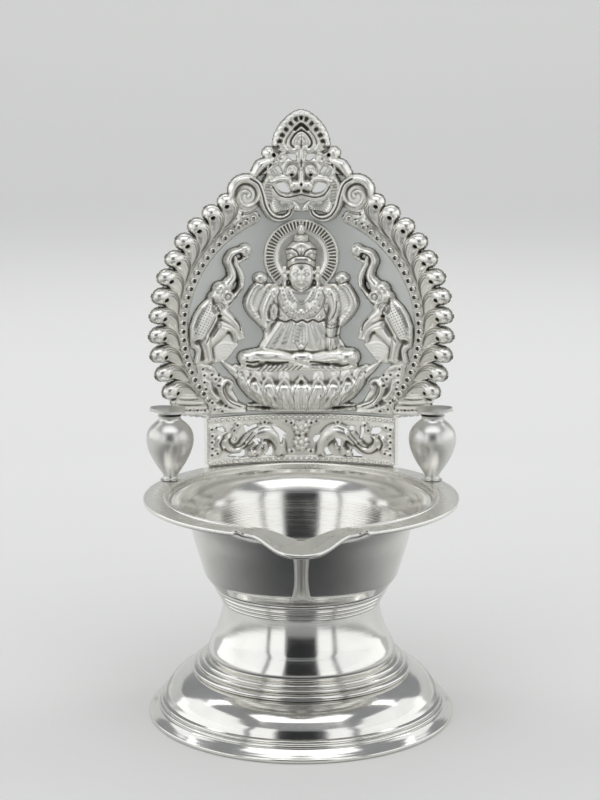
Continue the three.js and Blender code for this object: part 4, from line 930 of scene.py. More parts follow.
for _ in goddess.sides():
    goddess.line([(3.2, 92.0), (2.2, 92.3), (1.0, 91.7), (0.4, 90.6)], 0.26, -0.45)
    goddess.line([(3.2, 91.0), (2.2, 91.3), (1.2, 90.7)], 0.2, -0.3)
    goddess.swell(2.2, 91.8, 0.8, 0.5, 0.3)
    for k in range(6):
        goddess.line([(3.7 + 0.1 * k, 89.6 + 0.55 * k), (4.5 - 0.05 * k, 90.2 + 0.62 * k)], 0.18, 0.3)
goddess.swell(0, 92.0, 0.6, 0.9, 0.5)
goddess.swell(0, 91.2, 0.42, 0.6, -0.7)
for k in range(8):
    goddess.swell(-2.8 + 0.8 * k, 89.7 - 0.05 * (k - 3.5) ** 2, 0.34, 0.32, 0.3)
for k, z in enumerate((88.7, 90.2)):
    goddess.line([(-3.2 - 0.1 * k, z - 0.9), (-1.7, z + 0.25), (0, z + 0.5), (1.7, z + 0.25),
        (3.2 + 0.1 * k, z - 0.9)], 0.24, -0.45)
goddess.dome(0, 86.5, 2.75, 3.3, 3.1, low=1.6)
for _ in goddess.sides():
    for x, z, r in ((3.1, 87.2, 0.6), (3.5, 85.9, 0.85), (3.6, 84.6, 0.65)):
        goddess.dome(x, z, r, 1.1 * r, 2.2)
    goddess.swell(3.5, 85.9, 0.4, 0.4, -0.55)
    goddess.swell(1.1, 86.95, 0.95, 0.55, -0.2)
    goddess.swell(1.1, 86.9, 0.66, 0.32, 0.24)
    goddess.line([(0.5, 86.75), (1.1, 86.5), (1.7, 86.85)], 0.19, -0.26)
    goddess.line([(0.5, 86.8), (1.1, 87.15), (1.75, 86.9)], 0.19, -0.26)
    goddess.swell(1.1, 86.84, 0.28, 0.24, -0.15)
    goddess.line([(0.45, 87.55), (1.2, 87.95), (2.05, 87.5)], 0.2, -0.24)
    goddess.swell(0.38, 85.6, 0.3, 0.22, 0.2)
    goddess.swell(1.4, 85.5, 0.9, 0.8, 0.1)
goddess.ridge([(0, 87.4), (0, 86.4), (0, 85.7)], [0.25, 0.3, 0.4], 3.5, low=2.9, bend=False)
goddess.swell(0, 84.55, 0.75, 0.28, 0.2)
goddess.line([(-0.75, 84.84), (-0.3, 84.72), (0, 84.76), (0.3, 84.72), (0.75, 84.84)], 0.19, -0.28)
goddess.swell(0, 84.98, 0.6, 0.2, 0.14)
goddess.swell(0, 83.8, 0.6, 0.42, 0.12)
goddess.dome(0, 88.3, 0.28, 0.28, 3.0)
struck("goddess_relief", "goddess", goddess)

# The lotus seat is a cup of pointed petals that overlap like tiles, with ribs along each petal,
# on a banded foot. It is the lowest and softest part of the strike.
seat = Relief(-17.8, 17.8, 56.3, 69.0, 0.16)
seat.cushion(both_halves([(4, 56.9), (8.4, 58.2), (11.4, 60.0), (13.6, 62.6), (15.6, 66.8)]), 0.9, 0.8)


def lay_leaf(ground, base, tip, half, top, low, ribs=2):
    """Lays a pointed leaf with ribs along it."""
    b, t = ground.placed(base), ground.placed(tip)
    length = np.hypot(*(t - b))
    along = (t - b) / length
    m = half + 0.3
    part = ground.near(min(b[0], t[0]) - m, max(b[0], t[0]) + m, min(b[1], t[1]) - m, max(b[1], t[1]) + m)
    dx, dz = ground.x[part] - b[0], ground.z[part] - b[1]
    u = (dx * along[0] + dz * along[1]) / length
    v = dz * along[0] - dx * along[1]
    v = v / np.maximum(half * 1.75 * np.clip(u, 1e-4, 1) ** 0.55 * np.clip(1 - u, 0, 1) ** 0.62, 1e-4)
    form = np.clip(1 - v * v, 0, None) ** 0.45
    form = form * (0.86 + 0.14 * np.cos(math.pi * (ribs + 0.5) * v)) * (0.75 + 0.25 * u)
    laid = low + (top - low) * form
    inside = (np.abs(v) < 1) & (u > 0) & (u < 1)
    ground.lay(part, inside, laid)


for _ in seat.sides():
    for base, tip, half, top in [((8.0, 60.4), (17.4, 68.6), 1.5, 1.3),
            ((6.6, 60.0), (14.4, 67.6), 1.9, 1.5), ((5.6, 60.0), (11.2, 66.6), 1.9, 1.6),
            ((6.6, 59.6), (7.9, 66.2), 1.9, 1.7), ((3.4, 59.4), (4.0, 66.0), 1.9, 1.7),
            ((8.6, 58.8), (13.9, 65.0), 1.7, 1.8)]:
        lay_leaf(seat, base, tip, half, top, 0.4)
seat.cushion(both_halves([(4, 56.9), (8.2, 57.9), (11.6, 59.9), (13.9, 63.0), (14.9, 66.2), (12.0, 64.6),
    (7.6, 63.4), (0, 63.2)]), 2.1, 2.0)
for x, half, crown in (
    (-13.2, 1.5, 66.4), (13.2, 1.5, 66.4), (-10.5, 1.7, 65.0), (10.5, 1.7, 65.0), (-7.3, 1.85, 64.4),
    (7.3, 1.85, 64.3), (-3.8, 1.95, 64.0), (3.8, 1.95, 64.0), (0, 2.1, 64.2),
):
    foot = 57.3 + 0.009 * x * x
    stations = [(0.7 * x, 0.62, foot), (0.8 * x, 0.98, foot + 1.9),
        (0.96 * x, 1.0, 0.5 * (foot + crown) - 0.15), (x, 0.8, crown - 2.2)]
    seat.swell(0.95 * x, 61.2 + 0.01 * x * x, 0.9 * half, 3.2, 0.45)
    for share, proud, sunk in ((1.0, 0.5, -0.32), (0.64, 0.36, -0.24), (0.3, 0.36, -0.24)):
        peak = crown - 2.4 * (1 - share)
        for wide, thick, amount, drop in ((half * share, 0.27, proud, 0),
                (half * share - 0.33, 0.15, sunk, 0.26)):
            left, right = [[(mid + turn * across * wide, z - drop) for mid, across, z in stations]
                for turn in (-1, 1)]
            seat.line([*left, (x, peak - drop), *right[::-1]], thick, amount)
for x, z in ((-7.3, 64.4), (-3.8, 64.0), (0, 64.2), (3.8, 64.0), (7.3, 64.3), (-10.5, 65.0), (10.5, 65.0)):
    seat.ridge([(x - 1.0, z - 1.0), (x - 0.4, z - 0.45), (x, z + 0.25), (x + 0.4, z - 0.45),
        (x + 1.0, z - 1.0)], 0.26, 2.5, bend=False)
    seat.swell(x, z - 0.95, 0.5, 0.35, -0.5)
for z, deep in ((57.0, 1.3), (58.0, 1.0)):
    seat.ridge([(-11.6, z + 0.6), (-6, z + 0.05), (0, z - 0.1), (6, z + 0.05), (11.6, z + 0.6)], 0.42, deep)
struck("lotus_seat_relief", "lotus_seat", seat)

# The halo is a flat ring behind her head, with a beaded edge and fine rays round it. The rays
# were cut in the die one after the other, at an even pitch.
PLATE_DEEP = AXIS_Y + PLATE_Y


def bend_on_plate(tree, geometry, given):
    """Nodes that bend a flat motif, proud towards -Y, to the plate's curve."""
    place = add_node(tree, "GeometryNodeInputPosition")
    parts = add_node(tree, "ShaderNodeSeparateXYZ", {"Vector": place}).outputs
    radius = given["Plate radius"]
    reach = calc(tree, "ADD", radius, parts["Y"])
    turn = calc(tree, "DIVIDE", parts["X"], radius)
    cosine = calc(tree, "SQRT", calc(tree, "SUBTRACT", 1.0, calc(tree, "MULTIPLY", turn, turn)))
    centre = calc(tree, "SUBTRACT", given["Plate Y"], radius)
    across = calc(tree, "MULTIPLY", reach, turn)
    deep = calc(tree, "MULTIPLY_ADD", reach, cosine, centre)
    spot = add_node(tree, "ShaderNodeCombineXYZ", {"X": across, "Y": deep, "Z": parts["Z"]})
    return add_node(tree, "GeometryNodeSetPosition", {"Geometry": geometry, "Position": spot})


def plate_tree(name, **labels):
    """A tree that lays a motif on the plate, with the inputs that all such trees share."""
    shared = {"Spots": "Geometry", "Motif": "Object", "Plate radius": "Float", "Plate Y": "Float"}
    tree, given = new_tree(name, {**shared, "Silver": "Material", **labels})
    motif = add_node(tree, "GeometryNodeObjectInfo", {"Object": given["Motif"]}).outputs["Geometry"]
    return tree, given, motif


motifs_tree, given, motif = plate_tree("motifs on the plate")
turn_at = add_node(motifs_tree, "GeometryNodeInputNamedAttribute", {"Name": "turn"}, data_type="FLOAT")
size_at = add_node(motifs_tree, "GeometryNodeInputNamedAttribute", {"Name": "size"}, data_type="FLOAT")
turned_by = add_node(motifs_tree, "ShaderNodeCombineXYZ", {"Y": turn_at})
euler = add_node(motifs_tree, "FunctionNodeEulerToRotation", {"Euler": turned_by})
laid_at = {"Points": given["Spots"], "Instance": motif, "Rotation": euler, "Scale": size_at}
placed = add_node(motifs_tree, "GeometryNodeInstanceOnPoints", laid_at)
close_tree(motifs_tree, placed, given, bend_on_plate)

beads_tree, given, motif = plate_tree("beads along a line", Pitch="Float")
wire = add_node(beads_tree, "GeometryNodeMeshToCurve", {"Mesh": given["Spots"]})
spaced = {"Curve": wire, "Length": given["Pitch"]}
marks = add_node(beads_tree, "GeometryNodeCurveToPoints", spaced, mode="LENGTH")
placed = add_node(beads_tree, "GeometryNodeInstanceOnPoints", {"Points": marks, "Instance": motif})
close_tree(beads_tree, placed, given, bend_on_plate)


def lay_on_plate(tree, holder, motif_mesh, pitch=None):
    """The mesh of a motif laid at a holder's points, or along its line at a pitch."""
    motif_holder = new_object("motif", motif_mesh)
    values = {"Motif": motif_holder, "Plate radius": PLATE_R * MM, "Plate Y": PLATE_DEEP * MM,
        "Silver": relief_silver}
    if pitch:
        values["Pitch"] = pitch * MM
    mesh = run_tree(holder, tree, values)
    bpy.data.objects.remove(motif_holder)
    return mesh


def spots_object(name, spots):
    """Points of [x, z, turn, size] on the flat plate."""
    mesh = plain_mesh(name, [(x * MM, 0, z * MM) for x, z, _, _ in spots], [])
    for label, k in (("turn", 2), ("size", 3)):
        mesh.attributes.new(label, "FLOAT", "POINT").data.foreach_set("value", [spot[k] for spot in spots])
    return new_object(name, mesh)


def joined_mesh(name, meshes):
    """Several meshes as one."""
    box = [new_object(f"{name}_{k}", part) for k, part in enumerate(meshes)]
    with bpy.context.temp_override(active_object=box[0], selected_editable_objects=box):
        bpy.ops.object.join()
    mesh = box[0].data
    bpy.data.objects.remove(box[0])
    return mesh


def bead_mesh_of(profile, sides=9):
    """A small round bead on the flat plate, from a profile of [radius, height] in millimetres. The
    floor of a sunk bead is painted black: painted shade."""
    rings, (_, crown) = len(profile) - 1, profile[-1]
    turns = [2 * math.pi * k / sides for k in range(sides)]
    points = [(r * math.cos(a) * MM, -h * MM, r * math.sin(a) * MM) for r, h in profile[:-1] for a in turns]
    points.append((0, -crown * MM, 0))
    top = (rings - 1) * sides
    faces = loop_faces(rings, sides)
    faces += [(top + k, top + (k + 1) % sides, len(points) - 1) for k in range(sides)]
    faces.append(tuple(range(sides))[::-1])
    mesh = plain_mesh("bead", points, faces)
    # A sunk floor is marked black, as painted shade.
    floor_shade = 2.4 if crown < profile[-3][1] else -0.2
    dark = [-0.2] * top + [floor_shade] * (sides + 1)
    mesh.attributes.new("hollow", "FLOAT", "POINT").data.foreach_set("value", dark)
    return mesh


def kept_flat(x, z, h):
    """Flat plate coordinates in millimetres, proud towards -Y, in metres."""
    return np.stack([x, -h, z], -1) * MM


HALO_Z = 90.4
HALO_R = 8.1
RAYS = 60
halo = Relief(-8.4, 8.4, 82.0, 98.8, 0.16, floor=-1.0)
halo.dome(0, HALO_Z, HALO_R, HALO_R, 0.32, low=0.3)
ring_r = np.hypot(halo.x, halo.z - HALO_Z)
# The band of the rays is darkened, and the middle less.
halo.whitening_and_shade = np.where((ring_r > 5.9) & (ring_r < 7.6), 0.8, np.where(ring_r < 5.0, 0.45, 0.0))
for r, thick, top in ((HALO_R * 0.965, 0.36, 0.85), (5.7, 0.3, 0.75), (5.15, 0.22, 0.6)):
    ring = [(r * math.cos(a), HALO_Z + r * math.sin(a)) for a in np.linspace(0, 2 * math.pi, 49)]
    halo.ridge(ring, thick, top, bend=False)
halo_mesh = halo.mesh("halo_relief", relief_silver)
tick = Relief(-0.95, 0.95, -0.3, 0.3, 0.1)
tick.ridge([(-0.8, 0), (0.8, 0)], 0.26, 0.95, bend=False)
tick_mesh = tick.mesh("ray", relief_silver, base=0.1, soften=0, bend=kept_flat)
ray_turns = 2 * math.pi * (np.arange(RAYS) + 0.5) / RAYS
ray_spots = [(6.8 * math.cos(a), HALO_Z + 6.8 * math.sin(a), -a, 1.0) for a in ray_turns]
rays_mesh = lay_on_plate(motifs_tree, spots_object("ray_spots", ray_spots), tick_mesh)
finished("halo_relief", joined_mesh("halo", [halo_mesh, rays_mesh]), "halo", crease=75)

# Two elephants rear towards her, each with a flower in its raised trunk and a scaled saddle cloth
# held by a strap. The two dies are mirror images.
for word, s in BOTH_SIDES:
    beast = Relief(10.2, 24.6, 66.8, 94.4, 0.16, side=s)
    beast.cushion([(19.8, 73.2), (15.0, 74.6), (13.2, 71.6), (16.0, 68.2), (20.0, 67.6), (22.4, 68.4)],
        0.4, 0.3)
    for k in range(5):
        beast.line([(19.0 - 0.3 * k, 71.2 - 0.6 * k), (17.0, 72.2 - 0.7 * k),
            (14.8 + 0.3 * k, 71.9 - 0.6 * k)], 0.26, 0.28)
    beast.cushion([(17.6, 77.4), (19.2, 74.8), (20.6, 73.0), (19.6, 70.8), (17.8, 72.6), (15.8, 74.4),
        (15.0, 76.6)], 1.2, 1.2)
    beast.ridge([(20.9, 73.8), (20.4, 71.6), (19.9, 69.2)], [1.4, 1.1, 0.95], [2.0, 1.9, 1.6])
    beast.ridge([(22.6, 72.2), (22.0, 70.8), (22.4, 68.6)], [0.8, 0.65, 0.65], 1.3)
    for x in (19.3, 19.9, 20.5):
        beast.dome(x, 68.7, 0.4, 0.45, 1.8)
    beast.cushion([(19.6, 82.8), (21.8, 80.8), (23.1, 78.8), (23.9, 76.4), (23.95, 74.0), (23.5, 71.4),
        (22.6, 72.0), (21.3, 72.2), (20.2, 72.8), (18.8, 75.2), (17.3, 77.4), (17.6, 79.8)], 2.1, 2.6)
    cloth = [(19.8, 81.9), (21.6, 80.2), (22.9, 78.3), (23.5, 76.2), (23.5, 74.4), (22.4, 74.2),
        (21.4, 74.0), (20.0, 76.2), (18.9, 78.0), (19.2, 80.0)]
    beast.scales(cloth, 28, 0.6, 0.2, 0.7)
    beast.line([(18.4, 78.2), (19.7, 75.9), (21.3, 73.2)], 0.5, 0.3, bend=False)
    for off in (0.0, 0.85):
        beast.line([(17.9 + off, 77.8 + 0.5 * off), (19.2 + off, 75.4 + 0.5 * off),
            (20.8 + off, 72.8 + 0.5 * off)], 0.2, -0.4, bend=False)
    beast.line([(19.6, 82.4), (18.4, 80.0), (17.6, 77.8)], 0.24, -0.4)
    beast.swell(22.4, 73.0, 1.2, 0.9, -0.9)
    beast.ridge([(17.2, 79.0), (15.2, 77.3), (13.8, 75.8), (13.0, 74.0)], [1.6, 1.2, 1.0, 0.85],
        [2.3, 2.1, 2.1, 1.9])
    beast.ridge([(17.2, 76.4), (15.6, 75.7), (14.4, 74.6), (13.9, 73.1)], [1.1, 0.95, 0.8, 0.7], 1.6)
    beast.line([(14.6, 77.6), (13.7, 76.4), (13.4, 75.0)], 0.24, -0.5)
    for k in range(3):
        beast.dome(12.5 + 0.55 * k, 73.2 - 0.05 * k, 0.42, 0.5, 1.9)
    beast.cushion([(19.0, 84.7), (16.6, 86.2), (15.2, 84.6), (14.2, 82.4), (14.8, 80.2), (16.0, 78.6),
        (17.8, 78.6), (19.2, 80.6), (19.8, 82.8)], 2.2, 1.6)
    beast.dome(17.5, 84.4, 1.75, 1.35, 2.9, turn=-20)
    beast.dome(19.2, 82.6, 0.9, 1.2, 2.5, turn=30)
    beast.ridge([(14.2, 90.6), (14.1, 89.0), (13.4, 87.6), (12.9, 86.0), (13.1, 84.2), (14.2, 82.4)],
        [0.5, 0.75, 0.95, 0.95, 0.85, 0.9], 1.8)
    for k in range(9):
        beast.line([(14.4 - 0.12 * k, 89.6 - 0.72 * k), (12.9 - 0.08 * k, 89.0 - 0.62 * k)], 0.18, -0.2)
    beast.ridge([(16.0, 84.8), (14.9, 86.5), (15.3, 88.5), (15.8, 90.0), (14.9, 91.5), (13.2, 92.1)],
        [1.5, 1.1, 1.0, 1.0, 0.95, 0.8], [2.5, 2.3, 2.2, 2.2, 2.2, 2.2])
    beast.line([(13.2, 91.5), (14.8, 90.8), (14.9, 89.4), (14.2, 87.8), (14.0, 86.4), (14.9, 84.9)], 0.26,
        -0.55)
    beast.line([(15.9, 91.2), (16.5, 89.8), (15.9, 88.2), (15.6, 86.8)], 0.2, -0.25)
    beast.ridge([(15.7, 81.2), (14.3, 82.8), (12.8, 84.7)], [0.5, 0.42, 0.25], 2.5)
    beast.line([(16.0, 80.6), (14.7, 81.9), (13.2, 83.8)], 0.24, -0.5)
    around = [(16.25 + 1.05 * math.cos(a), 82.4 + 1.05 * math.sin(a)) for a in np.radians(range(0, 361, 30))]
    beast.ridge(around, 0.3, 2.95, low=1.4, bend=False)
    beast.line([(16.25 + 0.7 * (x - 16.25), 82.4 + 0.7 * (z - 82.4)) for x, z in around], 0.18, -0.35,
        bend=False)
    beast.dome(16.25, 82.4, 0.45, 0.4, 2.8)
    beast.dome(18.2, 79.9, 1.5, 1.6, 2.8, turn=20)
    for r in (1.3, 0.9, 0.5):
        beast.line([(18.2 + r * math.cos(a), 79.9 + r * math.sin(a))
            for a in np.radians(range(-60, 200, 26))], 0.18, -0.38)
    beast.eyelet(17.9, 78.3, 0.5, 0.4, 0.8)
    beast.dome(12.1, 92.1, 1.6, 1.45, 2.4)
    for k in range(6):
        a = math.radians(60 * k + 20)
        beast.swell(12.1 + s * math.cos(a), 92.1 + 0.9 * math.sin(a), 0.55, 0.55, 0.4)
    beast.swell(12.3, 91.9, 0.4, 0.4, -0.6)
    for x, z in ((11.6, 90.5), (12.6, 90.1), (13.3, 89.7)):
        beast.dome(x, z, 0.6, 0.6, 1.5)
    struck("elephant_relief_" + word, "elephant_" + word, beast)

# The lower panel is pierced round two small beasts with arched backs and long curling trunks,
# with two rosettes between them and punched rings over the ground.


def punch_ring(ground, x, z, r=0.42, proud=0.45):
    """A small struck ring with a sunk middle, painted dark as shade."""
    x = ground.side * x
    part = ground.near(x - 2 * r, x + 2 * r, z - 2 * r, z + 2 * r)
    d = np.hypot(ground.x[part] - x, ground.z[part] - z)
    ring, middle = np.exp(-(((d - r) / (0.42 * r)) ** 2)), np.exp(-((d / (0.5 * r)) ** 2))
    ground.h[part] += proud * ring - 0.8 * proud * middle
    # The sunk middle is darkened: painted shade.
    ground.darken(part, 2.0 * np.exp(-((d / (0.55 * r)) ** 2)))


panel = Relief(-20.1, 20.1, 46.9, 55.0, 0.15, floor=0.35)
for _ in panel.sides():
    panel.ridge([(4.6, 48.2), (4.9, 50.2), (6.3, 51.9), (8.2, 52.2), (10.2, 51.6), (11.5, 50.6)],
        [1.0, 1.3, 1.6, 1.6, 1.3, 1.0], [1.5, 1.8, 2.0, 2.0, 1.8, 1.6])
    panel.ridge([(3.8, 47.6), (4.2, 50.8), (6.0, 53.2), (8.2, 53.7), (10.4, 53.0)], 0.42, 1.5)
    panel.ridge([(10.4, 52.6), (12.0, 50.9), (13.3, 49.4), (14.8, 48.9), (16.2, 49.9), (16.4, 51.4),
        (15.6, 52.0)], [0.9, 0.85, 0.8, 0.75, 0.65, 0.5, 0.35], 1.9)
    panel.line([(10.8, 52.6), (12.4, 50.8), (13.6, 49.6), (14.8, 49.4)], 0.18, -0.5)
    panel.line([(10.4, 51.8), (11.8, 50.2), (13.0, 48.9)], 0.18, -0.5)
    for x, z in ((5.0, 47.9), (7.9, 49.6), (9.2, 48.2), (10.9, 48.0)):
        panel.dome(x, z, 0.75, 0.95, 1.5)
    panel.ridge([(9.2, 51.0), (8.9, 49.4), (10.3, 47.6)], [0.9, 0.6, 0.5], 1.6)
    panel.dome(17.6, 50.3, 1.3, 1.9, 1.3)
    panel.line([(17.0, 51.6), (17.8, 50.4), (17.2, 49.0)], 0.3, -0.5)
    for x, z in ((19.4, 48), (19.3, 49.4), (19.4, 50.8), (19.3, 52.2), (19.4, 53.6), (18.2, 48.2),
            (18.4, 53.9), (13.9, 54.1), (2.2, 54.2), (2.1, 47.9), (14.6, 53.0), (8.0, 54.5), (3.3, 54.6),
            (12.8, 50.2)):
        punch_ring(panel, x, z, 0.4, 0.5)
for z in (53.0, 49.8):
    panel.dome(0, z, 0.75, 0.75, 1.9)
    for k in range(7):
        a = 2 * math.pi * (k + 0.5) / 7
        panel.dome(1.25 * math.cos(a), z + 1.2 * math.sin(a), 0.6, 0.6, 1.35)
for side in panel.sides():
    for hole in PANEL_HOLES[side]:
        panel.pierce(hole)
struck("lower_panel_relief", "lower_panel", panel, round_edge=0.25)

# Above and below the panel runs a rail: a row of small beads between two fine lines.
RAIL_BEAD = [(0.5, -0.2), (0.48, 0.45), (0.36, 0.78), (0.18, 0.95), (0, 1.0)]
for word, z in (("bottom", 46.3), ("top", 55.55)):
    rail = Relief(-20.2, 20.2, z - 0.85, z + 0.85, 0.16)
    rail.cushion([(-20.15, z - 0.75), (20.15, z - 0.75), (20.15, z + 0.75), (-20.15, z + 0.75)], 0.45, 0.25)
    for off in (-0.55, 0.55):
        rail.line([(-20, z + off), (20, z + off)], 0.2, 0.4, bend=False)
    line = line_object("rail_line", [(x, z) for x in np.linspace(-19.6, 19.6, 40)])
    beads = lay_on_plate(beads_tree, line, bead_mesh_of(RAIL_BEAD, 8), pitch=1.2)
    rail_mesh = joined_mesh("rail_" + word, [rail.mesh("rail", relief_silver), beads])
    finished("rail_relief_" + word, rail_mesh, "panel_rail_" + word, crease=STRUCK_CREASE)

# The finial is a pointed leaf with a border of beads and sunk dots round a niche with a bud.
tip = Relief(-6.5, 6.5, 111.6, 121.9, 0.14)
FINIAL_HALF = [(0, 121.45), (0.9, 121.15), (1.8, 120.6), (3.1, 119.7), (4.4, 118.3), (5.4, 116.6),
    (5.95, 114.9), (6.15, 113.9), (5.2, 112.9), (3.6, 112.2), (0, 112.0)]
tip.cushion(both_halves(FINIAL_HALF), 1.0, 0.8)
border = [(5.55, 114.2), (5.2, 116.1), (4.2, 118.0), (2.7, 119.6), (1.2, 120.6), (0, 120.95)]
tip.cushion(both_halves([(0, 119.6), (2.5, 117.9), (4.0, 115.6), (4.1, 113.9), (3.0, 112.6)]), 1.3, 0.6)
for _ in tip.sides():
    tip.ridge(border, 0.66, 1.2)
    for x, z in ((0.6, 120.6), (1.85, 120.1), (3.05, 119.05), (4.05, 117.8), (4.8, 116.7), (5.25, 115.5),
            (5.6, 114.3)):
        tip.dome(x, z, 0.62, 0.6, 1.9, low=0.8)
    for x, z in ((1.15, 119.5), (2.25, 118.6), (3.3, 117.4), (4.15, 116.2), (4.7, 114.9), (4.95, 113.6)):
        tip.swell(x, z, 0.6, 0.6, -0.8)
    tip.ridge([(3.1, 113.0), (3.85, 114.2), (3.6, 115.4), (2.6, 116.9), (1.3, 118.2), (0, 119.1)], 0.42, 1.9)
    tip.ridge([(0.5, 113.0), (1.8, 112.9), (2.7, 113.7), (2.8, 114.9), (1.9, 116.4), (0.9, 117.3),
        (0, 117.7)], 0.28, 1.7)
    tip.line([(3.3, 114.4), (3.1, 115.4), (2.2, 116.7), (1.1, 117.9)], 0.2, -0.4)
    tip.line([(1.6, 113.6), (2.2, 114.2), (2.1, 115.2), (1.2, 116.5), (0, 117.2)], 0.28, -0.6)
    tip.dome(0.75, 113.7, 0.6, 0.5, 1.9)
tip.line([(-1.3, 117.3), (-0.7, 118.0), (0, 118.5), (0.7, 118.0), (1.3, 117.3)], 0.42, -0.85)
tip.eyelet(0, 119.7, 0.4, 0.42, 0.6)
tip.cushion(both_halves([(0, 116.6), (0.75, 115.8), (1.35, 114.9), (1.15, 114.2), (0, 113.9)]), 2.5, 1.0)
tip.line([(0, 116.1), (0, 113.3)], 0.18, -0.45, bend=False)
struck("finial_relief", "finial", tip, round_edge=0.5)

# From the mask's cheeks a band sweeps down and out on each side, and rises to a tight volute
# that sits over the border.
S_BAND = [(1.9, 100.9), (2.6, 99.4), (4.4, 98.6), (6.4, 99.2), (7.8, 101.2), (8.5, 103.8), (9.4, 106.0),
    (11.2, 107.2), (13.2, 106.9), (14.6, 105.5), (14.9, 103.6)]
for word, s in BOTH_SIDES:
    volute = Relief(1.2, 15.9, 97.6, 108.4, 0.15, side=s)
    spiral = [(11.8 + (0.5 + 2.75 * t) * math.cos(math.radians(200 - 500 * t)),
        103.5 + (0.5 + 2.75 * t) * math.sin(math.radians(200 - 500 * t))) for t in np.linspace(0, 1, 26)]
    volute.dome(11.8, 103.4, 3.6, 3.6, 1.2)
    volute.ridge(S_BAND, [0.5, 0.75, 0.85, 0.95, 1.0, 1.0, 1.0, 1.0, 1.0, 0.9, 0.6],
        [1.4, 1.6, 1.8, 2.0, 2.1, 2.2, 2.3, 2.3, 2.3, 2.2, 1.9])
    volute.line(S_BAND[:8], 0.24, -0.6)
    volute.ridge(spiral, [0.32] * 18 + [0.4] * 8, 2.0, bend=False)
    volute.line([(x - 0.62, z + 0.35) for x, z in S_BAND[1:8]], 0.2, 0.3)
    struck("scroll_relief_" + word, "scroll_" + word, volute)

# The lion mask guards the top of the arch: round eyes, a broad nose and a pierced grin, over two
# fans of fine feathers.
mask = Relief(-8.8, 8.8, 98.6, 113.2, 0.14)
mask.cushion(both_halves([(0, 99.9), (2.6, 100.2), (6.4, 99.4), (8.0, 102.4), (8.6, 106.2), (7.6, 108.2),
    (6.2, 110.2), (4.6, 112.6), (2.5, 113.1)]), 1.3, 1.0)
for _ in mask.sides():
    for r, amount in ((3.1, 0.3), (2.7, -0.4), (2.3, 0.3)):
        mask.line([(4.2 + r * math.cos(a), 101.6 + 0.85 * r * math.sin(a))
            for a in np.radians(range(190, 361, 17))], 0.24, amount)
    for k in range(12):
        a = math.radians(-150 + 16 * k)
        mask.line([(3.9 + 0.7 * math.cos(a), 102.0 + 0.5 * math.sin(a)),
            (3.9 + 2.1 * math.cos(a), 101.9 + 1.9 * math.sin(a))], 0.17, -0.3)
    for k in range(8):
        mask.line([(8.1 - 0.09 * k, 102.9 + 0.6 * k), (6.5 - 0.04 * k, 102.6 + 0.62 * k)], 0.17, -0.32)
    mask.ridge([(5.9, 105.7), (5.1, 104.3), (3.9, 103.6), (2.6, 103.5), (1.2, 103.8), (0, 104.1)], 0.3, 2.2,
        low=0.9)
    mask.ridge([(6.5, 105.2), (5.3, 103.5), (3.9, 102.9), (2.6, 102.8), (1.1, 103.1), (0, 103.4)], 0.3, 2.0,
        low=0.9)
    mask.line([(6.2, 105.4), (5.2, 103.9), (3.9, 103.25), (2.6, 103.15), (1.1, 103.5), (0, 103.75)], 0.18,
        -0.5)
    mask.ridge([(6.4, 105.8), (5.4, 106.8), (3.9, 107.0), (2.6, 106.9)], [0.45, 0.5, 0.5, 0.5], 2.2, low=0.9)
    mask.dome(6.9, 106.6, 1.3, 1.0, 2.2, turn=20, low=0.9)
    for k in range(5):
        mask.line([(4.9 + 0.55 * k, 107.6), (5.6 + 0.5 * k, 108.9 - 0.25 * k)], 0.16, -0.3)
    mask.dome(1.5, 105.7, 1.55, 1.3, 3.3, low=0.9)
    mask.dome(2.0, 108.6, 1.5, 1.45, 1.8, low=0.9)
    for r in (0.75, 1.2, 1.6):
        mask.line([(2.0 + r * math.cos(a), 108.8 + r * math.sin(a))
            for a in np.radians(range(-10, 191, 20))], 0.19, -0.3)
    mask.dome(2.0, 108.9, 0.42, 0.4, 2.5, low=0.9)
    mask.eyelet(2.05, 107.85, 0.5, 0.36, 0.7)
    mask.ridge([(0.7, 110.7), (1.7, 110.9), (2.8, 110.7), (3.6, 109.8), (3.7, 108.8)], 0.36, 1.9, low=0.9)
    mask.ridge([(3.3, 112.5), (4.6, 112.2), (5.2, 111.2), (4.5, 110.5), (3.8, 111.0), (4.2, 111.6)], 0.34,
        2.0, low=0.8)
    mask.line([(5.7, 111.7), (4.9, 112.6), (3.6, 112.9)], 0.2, -0.4)
    mask.ridge([(6.0, 111.4), (6.9, 110.4), (7.3, 109.2), (7.2, 108.2)], 0.45, 1.7, low=0.8)
mask.ridge([(0, 108.3), (0, 107.2), (0, 105.8)], [0.75, 0.9, 1.15], [2.5, 3.0, 3.7], low=0.9, bend=False)
for x in (-0.75, 0.75):
    mask.line([(x, 108.4), (x, 107.2)], 0.16, -0.24, bend=False)
mask.eyelet(0, 105.95, 0.34, 0.4, 0.9)
mask.line([(-2.3, 104.7), (-1.3, 104.4), (0, 104.8), (1.3, 104.4), (2.3, 104.7)], 0.16, -0.26)
mask.dome(0, 104.7, 0.36, 0.36, 2.6, low=0.9)
mask.ridge([(0, 113.0), (0, 111.9), (0, 110.9)], [0.55, 0.75, 0.55], 2.3, bend=False, low=0.8)
mask.line([(0, 110.9), (0, 109.6)], 0.24, -0.5, bend=False)
for k in range(4):
    mask.line([(-1.7 + 0.35 * k, 102.4 - 0.3 * k), (0, 101.5 - 0.4 * k), (1.7 - 0.35 * k, 102.4 - 0.3 * k)],
        0.16, -0.3, bend=False)
for _ in mask.sides():
    for hole in (GRIN, BROW_GAP, CHEEK_SLIT):
        mask.pierce(hole)
struck("lion_mask_relief", "lion_mask", mask, round_edge=0.25)

